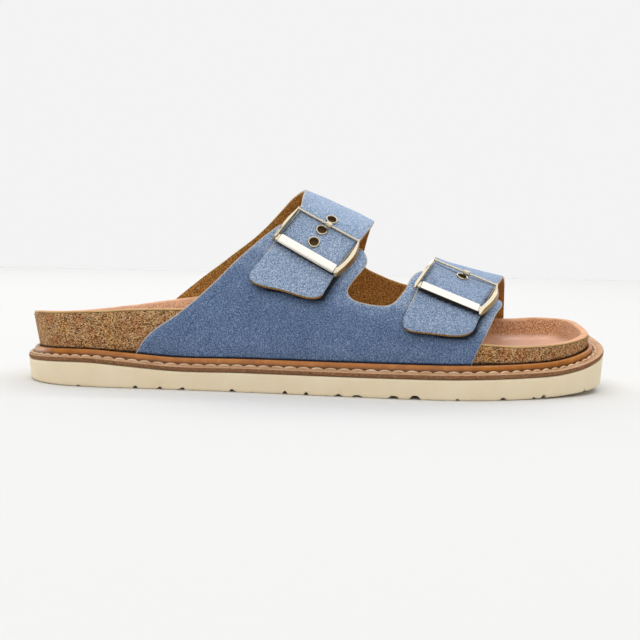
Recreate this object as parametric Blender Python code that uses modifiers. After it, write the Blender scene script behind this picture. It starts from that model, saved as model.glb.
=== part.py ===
"""Two-strap suede sandal on a cork footbed, right shoe.

Sizes are millimetres and become metres in the meshes. +X runs to the toe, +Y to the inner side
of the foot, +Z up. The flat of the sole lies on z = 0 and the origin is under its middle.
"""
import math

import bmesh
import bpy
import numpy as np
from mathutils import Vector
from mathutils.geometry import delaunay_2d_cdt

MM = 0.001
HALF_LENGTH = 130.0
GAP = 0.3                  # air between neighbouring pieces
SIDE_STEPS = 40            # spans along each side of the sole rings
ACROSS_STEPS = 10          # spans across the footbed surface

TOE_SPRING = 4.3           # lift of the tread at the toe tip
TOE_TWIST = 0.011          # share of the spring added per millimetre towards the inner side
TOP_TWIST = 0.105          # rise of the sole's top at the toe tip per millimetre towards the inner side
TWIST_AXIS = -20.0
SPRING_START = 72.0
HEEL_BEVEL = 0.4
BEVEL_START = -84.0
FLANGE_THICK = 2.0
BEAD_HEIGHT = 2.95
BEAD_WIDTH = 2.7
WELT_INNER = 13.0          # inset of the welt's inner edge from the sole edge
LUG_PITCH = 10.6           # tread notches of the inner side, which are regular
LUG_GROOVE = 2.6
LUG_DEPTH = 1.3
LUG_REACH = 17.0
COVER_REAR = (-79.0, -87.0)    # run of the upper along the cork, outer and inner side
COVER_FRONT = (74.0, 98.0)
INSOLE_THICK = 0.8
RIM_ROUND = 0.5
LIP_CRISP = 0.5            # how sharply the toe's cup falls away inside its lip
WALL = 2.0                 # suede with its lining
LAP = 0.7                  # how far a strap is sunk into the tab that it is joined to
PATTERN_GIRTH = 90.0       # pattern millimetres from the ridge to the feather line
OUTER_FULLNESS = 2.0       # superellipse powers of the two sides of the last
INNER_FULLNESS = 2.2
BAR = 1.1                  # buckle bar, plate and side sections
PLATE_WIDTH = 4.4
PLATE_THICK = 1.5
SIDE_WIDTH = 1.7
SIDE_HEIGHT = 2.6
SIDE_BOW = 1.5
BAR_LIFT = 2.25            # bar and plate middles above the strap
PLATE_LIFT = 1.7
EYELET_RADIUS = 2.75
EYELET_HOLE = 1.65
EYELET_BARREL = 2.1
EYELET_RISE = 0.45
STRAP_HOLE = 2.45
STRAP_HOLE_DEPTH = 1.6
SLEEVE_RADIUS = 1.15
SLEEVE_LENGTH = 2.8
PRONG_RADIUS = 0.45
PRONG_AIM = 0.8            # height above the eyelet's hole that the prong points at
PRONG_SHARE = 0.58         # how far it goes there, as only its root can be seen


def table(names, *rows):
    return {name: np.array(column, float) for name, column in zip(names.split(), zip(*rows))}


OUTLINE = table("station outer inner",
                (4, 13.2, 13.0),
                (11, 24.4, 24.0),
                (21, 31.4, 31.2),
                (35, 35.0, 35.0),
                (65, 37.2, 36.2),
                (100, 40.8, 36.2),
                (135, 46.0, 39.6),
                (165, 49.8, 44.8),
                (190, 51.0, 49.0),
                (214, 45.6, 49.8),
                (234, 36.8, 47.0),
                (249, 25.8, 40.0),
                (257, 14.0, 32.6))
HEEL_TIP = (1.5, 0.0)
TOE_TIP = (259.4, 9.2)

SOLE = table("x top",
             (-130, 9.0),
             (-112, 10.1),
             (-95, 10.4),
             (-80, 9.4),
             (-62, 8.1),
             (-30, 8.2),
             (20, 8.3),
             (60, 8.6),
             (85, 9.2),
             (105, 10.6),
             (118, 13.0),
             (130, 16.4))

NOTCHES = table("x wide deep",    # tread notches of the outer side
                (-100, 2.0, 0.8),
                (-75.5, 2.2, 1.3),
                (-65, 2.6, 1.2),
                (-55.4, 2.6, 1.2),
                (-34.5, 2.6, 1.3),
                (-12.3, 2.4, 1.5),
                (-3.4, 1.8, 1.4),
                (9.8, 3.4, 1.1),
                (17, 5.0, 1.0),
                (32, 5.0, 1.3),
                (40.5, 5.0, 1.7),
                (58, 1.8, 1.0),
                (77.5, 3.4, 1.3),
                (91.6, 1.8, 1.0),
                (96, 3.2, 1.5),
                (116.5, 2.6, 1.4))

WELT = table("x bead_inset",
             (-130, 2.2),
             (-80, 3.9),
             (0, 5.6),
             (40, 5.6),
             (80, 4.4),
             (130, 4.8))

FOOTBED = table("x floor outer_rim inner_rim outer_wall inner_wall flare lip",
                (-130, 24.6, 30.2, 28.6, 22, 22, 3.2, 0.8),
                (-115, 24.4, 31.0, 28.0, 22, 22, 2.9, 0.8),
                (-98, 24.2, 31.9, 29.6, 22, 22, 2.0, 0.8),
                (-70, 24.8, 33.3, 33.9, 22, 24, 0.4, 0.8),
                (-40, 25.6, 33.6, 38.2, 20, 26, 0.0, 0.8),
                (-5, 25.2, 30.8, 38.4, 18, 27, 0.0, 0.8),
                (30, 22.0, 26.8, 33.0, 16, 24, 0.0, 0.8),
                (60, 19.4, 23.4, 28.6, 14, 16, 0.0, 0.8),
                (90, 18.4, 21.7, 27.6, 12, 13, 0.0, 1.4),
                (115, 19.6, 23.8, 28.8, 12, 12, 0.6, 2.8),
                (130, 22.0, 28.0, 28.0, 12, 12, 1.2, 3.0))

LAST = table("x ridge_z ridge_y",
             (-95, 103.0, 0.0),
             (-70, 103.0, 0.5),
             (-40, 98.5, 1.1),
             (-20, 90.2, 1.6),
             (-5, 84.0, 2.0),
             (10, 77.9, 2.5),
             (24, 71.6, 3.3),
             (40, 63.0, 4.2),
             (54, 55.4, 5.0),
             (70, 50.8, 5.9),
             (85, 47.4, 6.7),
             (100, 44.8, 7.5))

# Pattern points: x along the shoe, girth from -1 (outer feather line) over 0 (ridge) to +1 (inner).
QUARTER = table("x girth",
                (-76.6, -1.0),
                (-75.3, -0.955),
                (-70.3, -0.884),
                (-57.5, -0.787),
                (-45, -0.675),
                (-32.5, -0.537),
                (-20.5, -0.4),
                (-15, -0.345),
                (-11, -0.335),
                (2, -0.36),
                (15, -0.385),
                (19, -0.4),
                (21, -0.45),
                (20, -0.494),
                (15, -0.581),
                (13, -0.63),
                (15, -0.663),
                (24.5, -0.682),
                (31, -0.668),
                (36.5, -0.581),
                (39.5, -0.494),
                (44, -0.42),
                (48, -0.41),
                (60, -0.455),
                (73, -0.51),
                (78, -0.53),
                (78.5, -0.57),
                (75.5, -0.644),
                (71.8, -0.75),
                (67.2, -0.875),
                (64.8, -0.955),
                (63.6, -1.0),
                (30, -1.0),
                (-6, -1.0),
                (-40, -1.0))

STRAPS = table("x girth",
               (-82, 1.0),
               (-77, 0.88),
               (-68, 0.778),
               (-56, 0.672),
               (-42, 0.553),
               (-27.5, 0.403),
               (-13.8, 0.186),
               (-7.2, 0.02),
               (-7.5, -0.144),
               (-9, -0.269),
               (-15, -0.394),
               (-22, -0.515),
               (-28, -0.612),
               (-27, -0.642),
               (-13, -0.667),
               (-2, -0.686),
               (2, -0.675),
               (4, -0.637),
               (9.5, -0.519),
               (16, -0.395),
               (22, -0.231),
               (24.5, -0.05),
               (24.2, 0.15),
               (22.5, 0.34),
               (21.5, 0.425),
               (23, 0.468),
               (31.5, 0.504),
               (38, 0.522),
               (45, 0.533),
               (51, 0.515),
               (54.5, 0.43),
               (55.2, 0.25),
               (53.2, 0.05),
               (50.5, -0.25),
               (46, -0.42),
               (40.5, -0.606),
               (36, -0.755),
               (37.5, -0.79),
               (48, -0.802),
               (59, -0.806),
               (63, -0.79),
               (67, -0.7),
               (75, -0.463),
               (80.5, -0.28),
               (84, -0.05),
               (88, 0.2),
               (91.5, 0.525),
               (92.5, 0.713),
               (92, 0.9),
               (91, 1.0),
               (60, 1.0),
               (25, 1.0),
               (-15, 1.0),
               (-55, 1.0))

BUCKLES = {"rear": {"bar": ((-9.3, -0.282), (16.5, -0.392)), "plate": ((-17.5, -0.432), (8.8, -0.554)),
                    "hub": 0.504, "pinned": "rear_eyelet_2"},
           "front": {"bar": ((47.9, -0.357), (75.1, -0.471)), "plate": ((41.1, -0.56), (67.5, -0.671)),
                     "hub": 0.518, "pinned": "front_eyelet_1"}}
EYELETS = {"rear_eyelet_1": (5.1, -0.279), "rear_eyelet_2": (1.3, -0.353), "rear_eyelet_3": (-1.7, -0.422),
           "front_eyelet_1": (61.3, -0.400)}

COLOURS = {"outsole": (0.78, 0.71, 0.55, 0.75, 0.0),
           "welt": (0.30, 0.13, 0.05, 0.6, 0.0),
           "footbed": (0.42, 0.25, 0.12, 0.85, 0.0),
           "insole": (0.52, 0.31, 0.20, 0.5, 0.0),
           "upper": (0.10, 0.17, 0.30, 0.95, 0.0),
           "metal": (0.86, 0.76, 0.56, 0.22, 1.0)}


def smooth(rows, name, x):
    """Cubic value of one table column at x."""
    keys = rows["x"]
    values = rows[name]
    slopes = np.gradient(values, keys)
    x = np.clip(x, keys[0], keys[-1])
    i = np.clip(np.searchsorted(keys, x) - 1, 0, len(keys) - 2)
    span = keys[i + 1] - keys[i]
    t = (x - keys[i]) / span
    return ((1 + 2 * t) * (1 - t) ** 2 * values[i] + t * (1 - t) ** 2 * span * slopes[i]
            + t * t * (3 - 2 * t) * values[i + 1] + t * t * (t - 1) * span * slopes[i + 1])


def ease(t):
    t = np.clip(t, 0.0, 1.0)
    return t * t * (3 - 2 * t)


def closed_spline(points, steps):
    """Centripetal spline through a closed row of points."""
    p = np.array(points, float)
    count = len(p)
    out = []
    for i in range(count):
        q = [p[(i + k) % count] for k in (-1, 0, 1, 2)]
        t = [0.0]
        for a, b in zip(q, q[1:]):
            t.append(t[-1] + math.sqrt(np.linalg.norm(b - a)))
        for u in np.linspace(t[1], t[2], steps, endpoint=False):
            level = q
            for width in (1, 2, 3):
                nxt = []
                for k in range(len(level) - 1):
                    lo = t[k] if width < 3 else t[1]
                    hi = t[k + width] if width < 3 else t[2]
                    nxt.append(level[k] * (hi - u) / (hi - lo) + level[k + 1] * (u - lo) / (hi - lo))
                level = nxt
            out.append(level[0])
    return np.array(out)


def even_points(line, spans):
    """The line cut into equal lengths, both ends kept."""
    run = np.r_[0.0, np.cumsum(np.linalg.norm(np.diff(line, axis=0), axis=1))]
    at = np.linspace(0.0, run[-1], spans + 1)
    return np.stack([np.interp(at, run, line[:, k]) for k in range(line.shape[1])], 1)


def sole_edge():
    """Points and outward normals round the sole: outer side to the toe, inner side back."""
    forth = [(s, -w) for s, w in zip(OUTLINE["station"], OUTLINE["outer"])]
    home = [(s, w) for s, w in zip(OUTLINE["station"], OUTLINE["inner"])][::-1]
    steps = 40
    dense = closed_spline([HEEL_TIP] + forth + [TOE_TIP] + home, steps) - (HALF_LENGTH, 0.0)
    along = np.roll(dense, -1, 0) - np.roll(dense, 1, 0)
    along /= np.linalg.norm(along, axis=1)[:, None]
    both = np.hstack([dense, along[:, 1:], -along[:, :1]])
    toe = (len(forth) + 1) * steps
    outer = even_points(both[:toe + 1], SIDE_STEPS)
    inner = even_points(np.vstack([both[toe:], both[:1]]), SIDE_STEPS)
    return both, np.vstack([outer[:-1], inner[:-1]])


EDGE_FINE, EDGE = sole_edge()


def inset_ring(inset, height, edge=None):
    """A ring of 3-D points: inset(x, share) from the sole edge at height(x, y, share)."""
    edge = EDGE if edge is None else edge
    ring = []
    for x, y, nx, ny in edge:
        share = inner_share(ny)
        d = inset(x, share)
        ring.append((x - nx * d, y - ny * d, height(x - nx * d, y - ny * d, share)))
    return ring


def inner_share(ny):
    """Zero along the outer side, one along the inner side, in between round heel and toe."""
    return float(ease(0.5 + 0.8 * ny))


def toe_rise(x):
    return max((x - SPRING_START) / (HALF_LENGTH - SPRING_START), 0.0) ** 2


def ground(x, y):
    """The tread: flat, with a toe spring that is a little more on the inner side and a heel bevel."""
    toe = TOE_SPRING * toe_rise(x) * (1.0 + TOE_TWIST * y)
    return toe + HEEL_BEVEL * max((BEVEL_START - x) / (HALF_LENGTH + BEVEL_START), 0.0) ** 2


def outsole_top(x, y):
    return float(smooth(SOLE, "top", x)) + TOP_TWIST * toe_rise(x) * (y - TWIST_AXIS)


def flange_top(x, y):
    return outsole_top(x, y) + GAP + FLANGE_THICK


def bead_inset(x):
    return float(smooth(WELT, "bead_inset", x))


def feather_inset(x):
    """Inset of the upper's inner face at its feather line."""
    return bead_inset(x) + BEAD_WIDTH + 1.2 * GAP + WALL


def mix(rows, outer, inner, x, share):
    return float(smooth(rows, outer, x) * (1 - share) + smooth(rows, inner, x) * share)


def under_upper(x, share):
    """One where the upper covers the cork, zero at heel and toe."""
    rear = COVER_REAR[0] + (COVER_REAR[1] - COVER_REAR[0]) * share
    front = COVER_FRONT[0] + (COVER_FRONT[1] - COVER_FRONT[0]) * share
    return float(ease((x - rear + 9.0) / 9.0) * ease((front + 9.0 - x) / 9.0))


def cork_inset(x, share):
    bare = bead_inset(x) + BEAD_WIDTH + GAP
    return bare + (feather_inset(x) + 0.4 - bare) * under_upper(x, share)


def rim_inset(x, share):
    return cork_inset(x, share) - float(smooth(FOOTBED, "flare", x)) * (1 - under_upper(x, share))


def rim_height(x, y, share):
    """Height of the footbed's rim; round the toe it falls evenly from the inner to the outer side."""
    toe = float(ease((x - 106.0) / 10.0))
    share = share * (1 - toe) + float(ease((y + 12.0) / 36.0)) * toe
    return mix(FOOTBED, "outer_rim", "inner_rim", x, share)


RIM_FINE = np.array(inset_ring(rim_inset, rim_height, EDGE_FINE))
RIM_SHARE = np.array([inner_share(ny) for ny in EDGE_FINE[:, 3]])


def foot_height(x, y):
    """Height of the insole's face."""
    away = np.hypot(RIM_FINE[:, 0] - x, RIM_FINE[:, 1] - y)
    k = int(np.argmin(away))
    wall = mix(FOOTBED, "outer_wall", "inner_wall", x, RIM_SHARE[k])
    floor = float(smooth(FOOTBED, "floor", x))
    lip = float(smooth(FOOTBED, "lip", x))
    inward = min(max(away[k] - lip, 0.0) / (wall - lip), 1.0)
    crisp = LIP_CRISP * float(ease((x - 85.0) / 20.0))
    rise = (0.5 + 0.5 * math.cos(math.pi * inward)) * (1 - crisp) + (1 - inward) ** 2 * crisp
    return floor + (RIM_FINE[k, 2] - floor) * rise


def new_object(name, bm, colour, home):
    bm.normal_update()
    mesh = bpy.data.meshes.new(name)
    bm.to_mesh(mesh)
    bm.free()
    obj = bpy.data.objects.new(name, mesh)
    home.objects.link(obj)
    if colour:
        mesh.materials.append(colour)
    return obj


def vertex(bm, p):
    return bm.verts.new(Vector(p) * MM)


def close_rings(bm, rings, closed=False):
    """Quads between neighbouring rings of vertices."""
    pairs = list(zip(rings, rings[1:]))
    if closed:
        pairs.append((rings[-1], rings[0]))
    for low, high in pairs:
        count = len(low)
        for k in range(count):
            n = (k + 1) % count
            bm.faces.new((low[k], low[n], high[n], high[k]))


def rung_ends(ring):
    """Ring vertices paired across the sole from heel to toe."""
    half = len(ring) // 2
    return [(ring[k], ring[-k]) for k in range(1, half)], ring[0], ring[half]


def span_ring(bm, ring, across, height, upward):
    """A sheet that fills a ring, in rows across the sole."""
    pairs, heel, toe = rung_ends(ring)
    rows = []
    for a, b in pairs:
        row = [a]
        for k in range(1, across):
            p = a.co.lerp(b.co, k / across) / MM
            row.append(vertex(bm, (p.x, p.y, height(p.x, p.y))))
        rows.append(row + [b])
    turn = 1 if upward else -1
    for row, tip, way in ((rows[0], heel, -turn), (rows[-1], toe, turn)):
        for k in range(across):
            bm.faces.new((tip, row[k], row[k + 1])[::-way])
    for low, high in zip(rows, rows[1:]):
        for k in range(across):
            bm.faces.new((low[k], high[k], high[k + 1])[::turn])
            bm.faces.new((low[k], high[k + 1], low[k + 1])[::turn])


def make_outsole(home, cutters, colour):
    """Foam sole: rounded foot, drafted side, then the edge lugs cut in."""
    profile = ((1.9, 0.0, 0.0), (1.15, 0.4, 0.0), (0.9, 1.4, 0.0),
               (0.5, 0.5, 0.5), (0.2, -0.4, 1.0), (0.5, 0.0, 1.0))    # inset, rise, blend to the top
    bm = bmesh.new()
    rings = []
    for inset, up, blend in profile:
        def height(x, y, share, up=up, blend=blend):
            return ground(x, y) * (1 - blend) + outsole_top(x, y) * blend + up
        rings.append([vertex(bm, p) for p in inset_ring(lambda x, share, d=inset: d, height)])
    close_rings(bm, rings)
    span_ring(bm, rings[0], 1, None, False)
    span_ring(bm, rings[-1], 1, None, True)
    sole = new_object("outsole", bm, colour, home)
    grooves = [(False, x, wide, deep) for x, wide, deep in zip(*NOTCHES.values())]
    for x in np.arange(-HALF_LENGTH + 14.0, HALF_LENGTH - 12.0, LUG_PITCH):
        grooves.append((True, x, LUG_GROOVE, LUG_DEPTH))
    lugs = bmesh.new()
    for inner, x, wide, deep in grooves:
        side = EDGE_FINE[(EDGE_FINE[:, 1] > 0) == inner]
        px, py, nx, ny = side[np.argmin(abs(side[:, 0] - x))]
        out = Vector((nx, ny, 0.0))
        along = Vector((-ny, nx, 0.0))
        ends = []
        for reach in (-3.0, LUG_REACH):
            middle = Vector((px, py, 0.0)) - out * reach
            middle.z = ground(middle.x, middle.y)
            corners = ((-wide / 2, -1.0), (wide / 2, -1.0), (wide / 4, deep), (-wide / 4, deep))
            ends.append([lugs.verts.new((middle + along * a + Vector((0, 0, b))) * MM) for a, b in corners])
        close_rings(lugs, ends)
        lugs.faces.new(ends[0][::-1])
        lugs.faces.new(ends[1])
    bmesh.ops.recalc_face_normals(lugs, faces=lugs.faces)
    cut(sole, new_object("lug_cutter", lugs, None, cutters))
    return sole


def cut(obj, cutter, operation="DIFFERENCE"):
    cutter.hide_render = True
    cutter.display_type = "WIRE"
    step = obj.modifiers.new(cutter.name, "BOOLEAN")
    step.operation = operation
    step.solver = "EXACT"
    step.object = cutter


def make_welt(home, colour):
    """Flange and bead swept round the sole edge."""
    def on_flange(d, up):
        return lambda x, share: d, lambda x, y, share: flange_top(x, y) + up

    def on_bead(part, up):
        return lambda x, share: bead_inset(x) + BEAD_WIDTH * part, lambda x, y, share: flange_top(x, y) + up

    outline = [on_flange(0.3, -FLANGE_THICK), on_flange(0.0, -FLANGE_THICK / 2), on_flange(0.5, 0.0),
               on_bead(-0.1, 0.0), on_bead(0.0, 0.5 * BEAD_HEIGHT), on_bead(0.22, 0.87 * BEAD_HEIGHT),
               on_bead(0.5, BEAD_HEIGHT), on_bead(0.8, 0.85 * BEAD_HEIGHT), on_bead(1.0, 0.45 * BEAD_HEIGHT),
               on_bead(1.0, 0.0), on_flange(WELT_INNER, 0.0), on_flange(WELT_INNER, -FLANGE_THICK)]
    bm = bmesh.new()
    rings = [[vertex(bm, p) for p in inset_ring(*step)] for step in outline]
    close_rings(bm, rings, closed=True)
    return new_object("welt", bm, colour, home)


def make_footbed(home, colour):
    """Cork body: seat inside the welt, step over it, side wall, dished face."""
    def under_insole(x, y):
        return foot_height(x, y) - INSOLE_THICK - GAP

    def rim(drop):
        return lambda x, y, share: rim_height(x, y, share) - INSOLE_THICK - GAP - drop

    def seat(x, share):
        return WELT_INNER + 0.4

    def on_sole(x, y, share):
        return outsole_top(x, y) + GAP

    def on_flange(x, y, share):
        return flange_top(x, y) + GAP

    def half_way(x, share):
        return 0.5 * (cork_inset(x, share) + rim_inset(x, share))

    def half_height(x, y, share):
        return 0.5 * (on_flange(x, y, share) + rim(0.8)(x, y, share))

    def rim_edge(x, share):
        return rim_inset(x, share) + RIM_ROUND

    steps = ((seat, on_sole), (seat, on_flange), (cork_inset, on_flange), (half_way, half_height),
             (rim_inset, rim(0.8)), (rim_edge, rim(0.0)))
    bm = bmesh.new()
    rings = [[vertex(bm, p) for p in inset_ring(*step)] for step in steps]
    close_rings(bm, rings)
    span_ring(bm, rings[0], 1, None, False)
    span_ring(bm, rings[-1], ACROSS_STEPS, under_insole, True)
    return new_object("footbed", bm, colour, home)


def make_insole(home, colour):
    """Leather skin of even thickness over the cork."""
    def inset(x, share):
        return rim_inset(x, share) + RIM_ROUND

    bm = bmesh.new()
    rings = []
    for drop in (INSOLE_THICK, 0.0):
        def height(x, y, share, drop=drop):
            return rim_height(x, y, share) - drop
        rings.append([vertex(bm, p) for p in inset_ring(inset, height)])
    close_rings(bm, rings)
    span_ring(bm, rings[0], ACROSS_STEPS, lambda x, y: foot_height(x, y) - INSOLE_THICK, False)
    span_ring(bm, rings[1], ACROSS_STEPS, foot_height, True)
    return new_object("insole", bm, colour, home)


def side_line(inner):
    """Feather line of one side as x and y."""
    points = np.array(inset_ring(lambda x, share: feather_inset(x), lambda x, y, share: 0.0, EDGE_FINE))
    half = OUTLINE["station"].size + 1
    toe = half * len(points) // (2 * half)
    line = np.vstack([points[toe:], points[:1]])[::-1] if inner else points[:toe + 1]
    return line[:, 0], line[:, 1]


FEATHER = {False: side_line(False), True: side_line(True)}
ARC = np.linspace(0.0, math.pi / 2, 61)


def last_point(x, girth):
    """A point on the inside of the upper."""
    inner = girth > 0
    foot_y = np.interp(x, *FEATHER[inner])
    ridge_y = float(smooth(LAST, "ridge_y", x))
    ridge_z = float(smooth(LAST, "ridge_z", x))
    base_z = rim_height(x, foot_y, float(inner)) - 1.0
    power = 2.0 / (INNER_FULLNESS if inner else OUTER_FULLNESS)
    y = np.r_[ridge_y + (foot_y - ridge_y) * np.sin(ARC) ** power, foot_y]
    z = np.r_[base_z + (ridge_z - base_z) * np.cos(ARC) ** power, flange_top(x, foot_y) + GAP]
    run = np.r_[0.0, np.cumsum(np.hypot(np.diff(y), np.diff(z)))]
    at = run[-1] * abs(girth)
    return np.array((x, np.interp(at, run, y), np.interp(at, run, z)))


def last_frame(x, girth):
    """Point, outward normal and the two tangents of the inside of the upper."""
    point = last_point(x, girth)
    along = last_point(x + 1.0, girth) - last_point(x - 1.0, girth)
    around = last_point(x, min(girth + 0.012, 1.0)) - last_point(x, max(girth - 0.012, -1.0))
    out = np.cross(along, around)
    return point, out / np.linalg.norm(out), along / np.linalg.norm(along), around / np.linalg.norm(around)


def strap_rise(girth):
    """Height of the straps above the last: they climb on to the outer tabs."""
    return (WALL - LAP) * float(ease((-girth - 0.06) / 0.22))


def on_strap(x, girth, above=0.0):
    point, out, along, around = last_frame(x, girth)
    return point + out * (strap_rise(girth) + WALL + above)


def inside(points, loop):
    """Which points lie inside a closed loop, and how far from it."""
    a = loop
    b = np.roll(loop, -1, 0)
    hit = np.zeros(len(points), bool)
    gap = np.full(len(points), 1e9)
    for p, q in zip(a, b):
        crosses = (p[1] > points[:, 1]) != (q[1] > points[:, 1])
        rise = q[1] - p[1] if q[1] != p[1] else 1e-9
        hit ^= crosses & (points[:, 0] < p[0] + (points[:, 1] - p[1]) * (q[0] - p[0]) / rise)
        share = np.clip(((points - p) @ (q - p)) / max((q - p) @ (q - p), 1e-9), 0, 1)
        gap = np.minimum(gap, np.linalg.norm(points - p - share[:, None] * (q - p), axis=1))
    return hit, gap


def pattern_sheet(rows, spacing):
    """Triangles that fill a pattern piece: points as (x, girth) and the faces."""
    keys = np.stack([rows["x"], rows["girth"] * PATTERN_GIRTH], 1)
    loop = closed_spline(keys, 12)
    loop[:, 1] = np.clip(loop[:, 1], -PATTERN_GIRTH, PATTERN_GIRTH)
    loop = np.vstack([loop, loop[:1]])
    length = np.linalg.norm(np.diff(loop, axis=0), axis=1).sum()
    loop = even_points(loop, int(length / (0.75 * spacing)))[:-1]
    low = loop.min(0)
    high = loop.max(0)
    rise = spacing * math.sqrt(0.75)
    grid = [(x + (j % 2) * spacing / 2, low[1] + j * rise) for j in range(int((high[1] - low[1]) / rise) + 1)
            for x in np.arange(low[0], high[0], spacing)]
    grid = np.array(grid)
    hit, gap = inside(grid, loop)
    grid = grid[hit & (gap > 0.55 * spacing)]
    points = [Vector(p) for p in np.vstack([loop, grid])]
    border = list(range(len(loop)))
    verts, edges, faces = delaunay_2d_cdt(points, [], [border], 1, 1e-4)[:3]
    return [(p.x, p.y / PATTERN_GIRTH) for p in verts], faces


def make_wall(name, rows, spacing, rise, home, colour):
    """A pattern piece laid on the last and given its thickness."""
    bm = bmesh.new()
    pattern, faces = pattern_sheet(rows, spacing)
    verts = []
    for x, girth in pattern:
        point, out, along, around = last_frame(x, girth)
        verts.append(vertex(bm, point + out * rise(girth)))
    for face in faces:
        bm.faces.new([verts[k] for k in face])
    bmesh.ops.recalc_face_normals(bm, faces=bm.faces)
    top = max(bm.faces, key=lambda f: f.calc_center_median().z)
    if top.normal.z < 0:
        bmesh.ops.reverse_faces(bm, faces=bm.faces)
    wall = new_object(name, bm, colour, home)
    step = wall.modifiers.new("wall", "SOLIDIFY")
    step.thickness = WALL * MM
    step.offset = 1.0
    step.use_even_offset = True
    step.use_rim = True
    return wall


def make_upper(home, cutters, colour):
    """Outer quarter and the straps of the inner quarter, joined into one hollow solid."""
    upper = make_wall("upper", STRAPS, 7.0, strap_rise, home, colour)
    quarter = make_wall("outer_quarter", QUARTER, 7.0, lambda girth: 0.0, cutters, None)
    cut(upper, quarter, "UNION")
    for name, (x, girth) in EYELETS.items():
        point, out, along, around = last_frame(x, girth)
        bm = bmesh.new()
        bmesh.ops.create_cone(bm, cap_ends=True, segments=14, radius1=STRAP_HOLE * MM,
                              radius2=STRAP_HOLE * MM, depth=2 * STRAP_HOLE_DEPTH * MM)
        hole = new_object(name + "_hole", bm, None, cutters)
        hole.location = Vector(on_strap(x, girth)) * MM
        hole.rotation_euler = Vector(out).to_track_quat("Z", "Y").to_euler()
        cut(upper, hole)
    return upper


def make_eyelet(name, x, girth, home, colour):
    """Turned ring: a domed flange on the strap and a barrel in its hole."""
    point, out, along, around = last_frame(x, girth)
    foot = GAP - STRAP_HOLE_DEPTH
    crown = 0.5 * (EYELET_RADIUS + EYELET_HOLE)
    profile = ((EYELET_HOLE, foot), (EYELET_BARREL, foot), (EYELET_BARREL, GAP), (EYELET_RADIUS, GAP),
               (EYELET_RADIUS, GAP + 0.25), (crown, GAP + EYELET_RISE), (EYELET_HOLE, GAP + 0.3))
    bm = bmesh.new()
    turns = [2 * math.pi * k / 14 for k in range(14)]
    rings = []
    for radius, up in profile:
        rings.append([vertex(bm, (radius * math.cos(a), radius * math.sin(a), up)) for a in turns])
    close_rings(bm, rings, closed=True)
    ring = new_object(name, bm, colour, home)
    ring.location = Vector(on_strap(x, girth)) * MM
    ring.rotation_euler = Vector(out).to_track_quat("Z", "Y").to_euler()
    return ring


def buckle_corners(spec):
    """Ends of the thin bar and of the plate, clear of the strap."""
    bar = [on_strap(x, g, BAR_LIFT) for x, g in spec["bar"]]
    plate = [on_strap(x, g, PLATE_LIFT) for x, g in spec["plate"]]
    return bar, plate


def make_buckle(name, spec, home, colour):
    """One closed loop of varying section: bar, bowed side, plate, bowed side."""
    (bar_a, bar_b), (plate_a, plate_b) = buckle_corners(spec)
    run = bar_b - bar_a
    run /= np.linalg.norm(run)
    down = 0.5 * (plate_a + plate_b - bar_a - bar_b)
    out = np.cross(run, down)
    out /= np.linalg.norm(out)
    out = out if out[1] < 0 else -out
    stations = []
    for k in range(7):
        stations.append((bar_a + (bar_b - bar_a) * k / 6, BAR, BAR))
    for k in range(1, 8):
        t = k / 8
        bow = math.sin(math.pi * t)
        place = bar_b + (plate_b - bar_b) * t + out * SIDE_BOW * bow + run * 0.9 * bow
        stations.append((place, SIDE_WIDTH, BAR + (SIDE_HEIGHT - BAR) * math.sin(math.pi * t ** 1.5)))
    for k in range(7):
        stations.append((plate_b + (plate_a - plate_b) * k / 6, PLATE_WIDTH, PLATE_THICK))
    for k in range(1, 8):
        t = 1 - k / 8
        bow = math.sin(math.pi * t)
        place = bar_a + (plate_a - bar_a) * t + out * SIDE_BOW * bow - run * 0.9 * bow
        stations.append((place, SIDE_WIDTH, BAR + (SIDE_HEIGHT - BAR) * math.sin(math.pi * t ** 1.5)))
    bm = bmesh.new()
    rings = []
    count = len(stations)
    for k, (place, width, height) in enumerate(stations):
        ahead = stations[(k + 1) % count][0] - stations[k - 1][0]
        wide = np.cross(out, ahead)
        wide /= np.linalg.norm(wide)
        ring = []
        for a, b in ((-1, -0.6), (-0.6, -1), (0.6, -1), (1, -0.6), (1, 0.6), (0.6, 1), (-0.6, 1), (-1, 0.6)):
            ring.append(vertex(bm, place + wide * a * width / 2 + out * b * height / 2))
        rings.append(ring)
    close_rings(bm, rings, closed=True)
    bmesh.ops.recalc_face_normals(bm, faces=bm.faces)
    return new_object(name, bm, colour, home)


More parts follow.
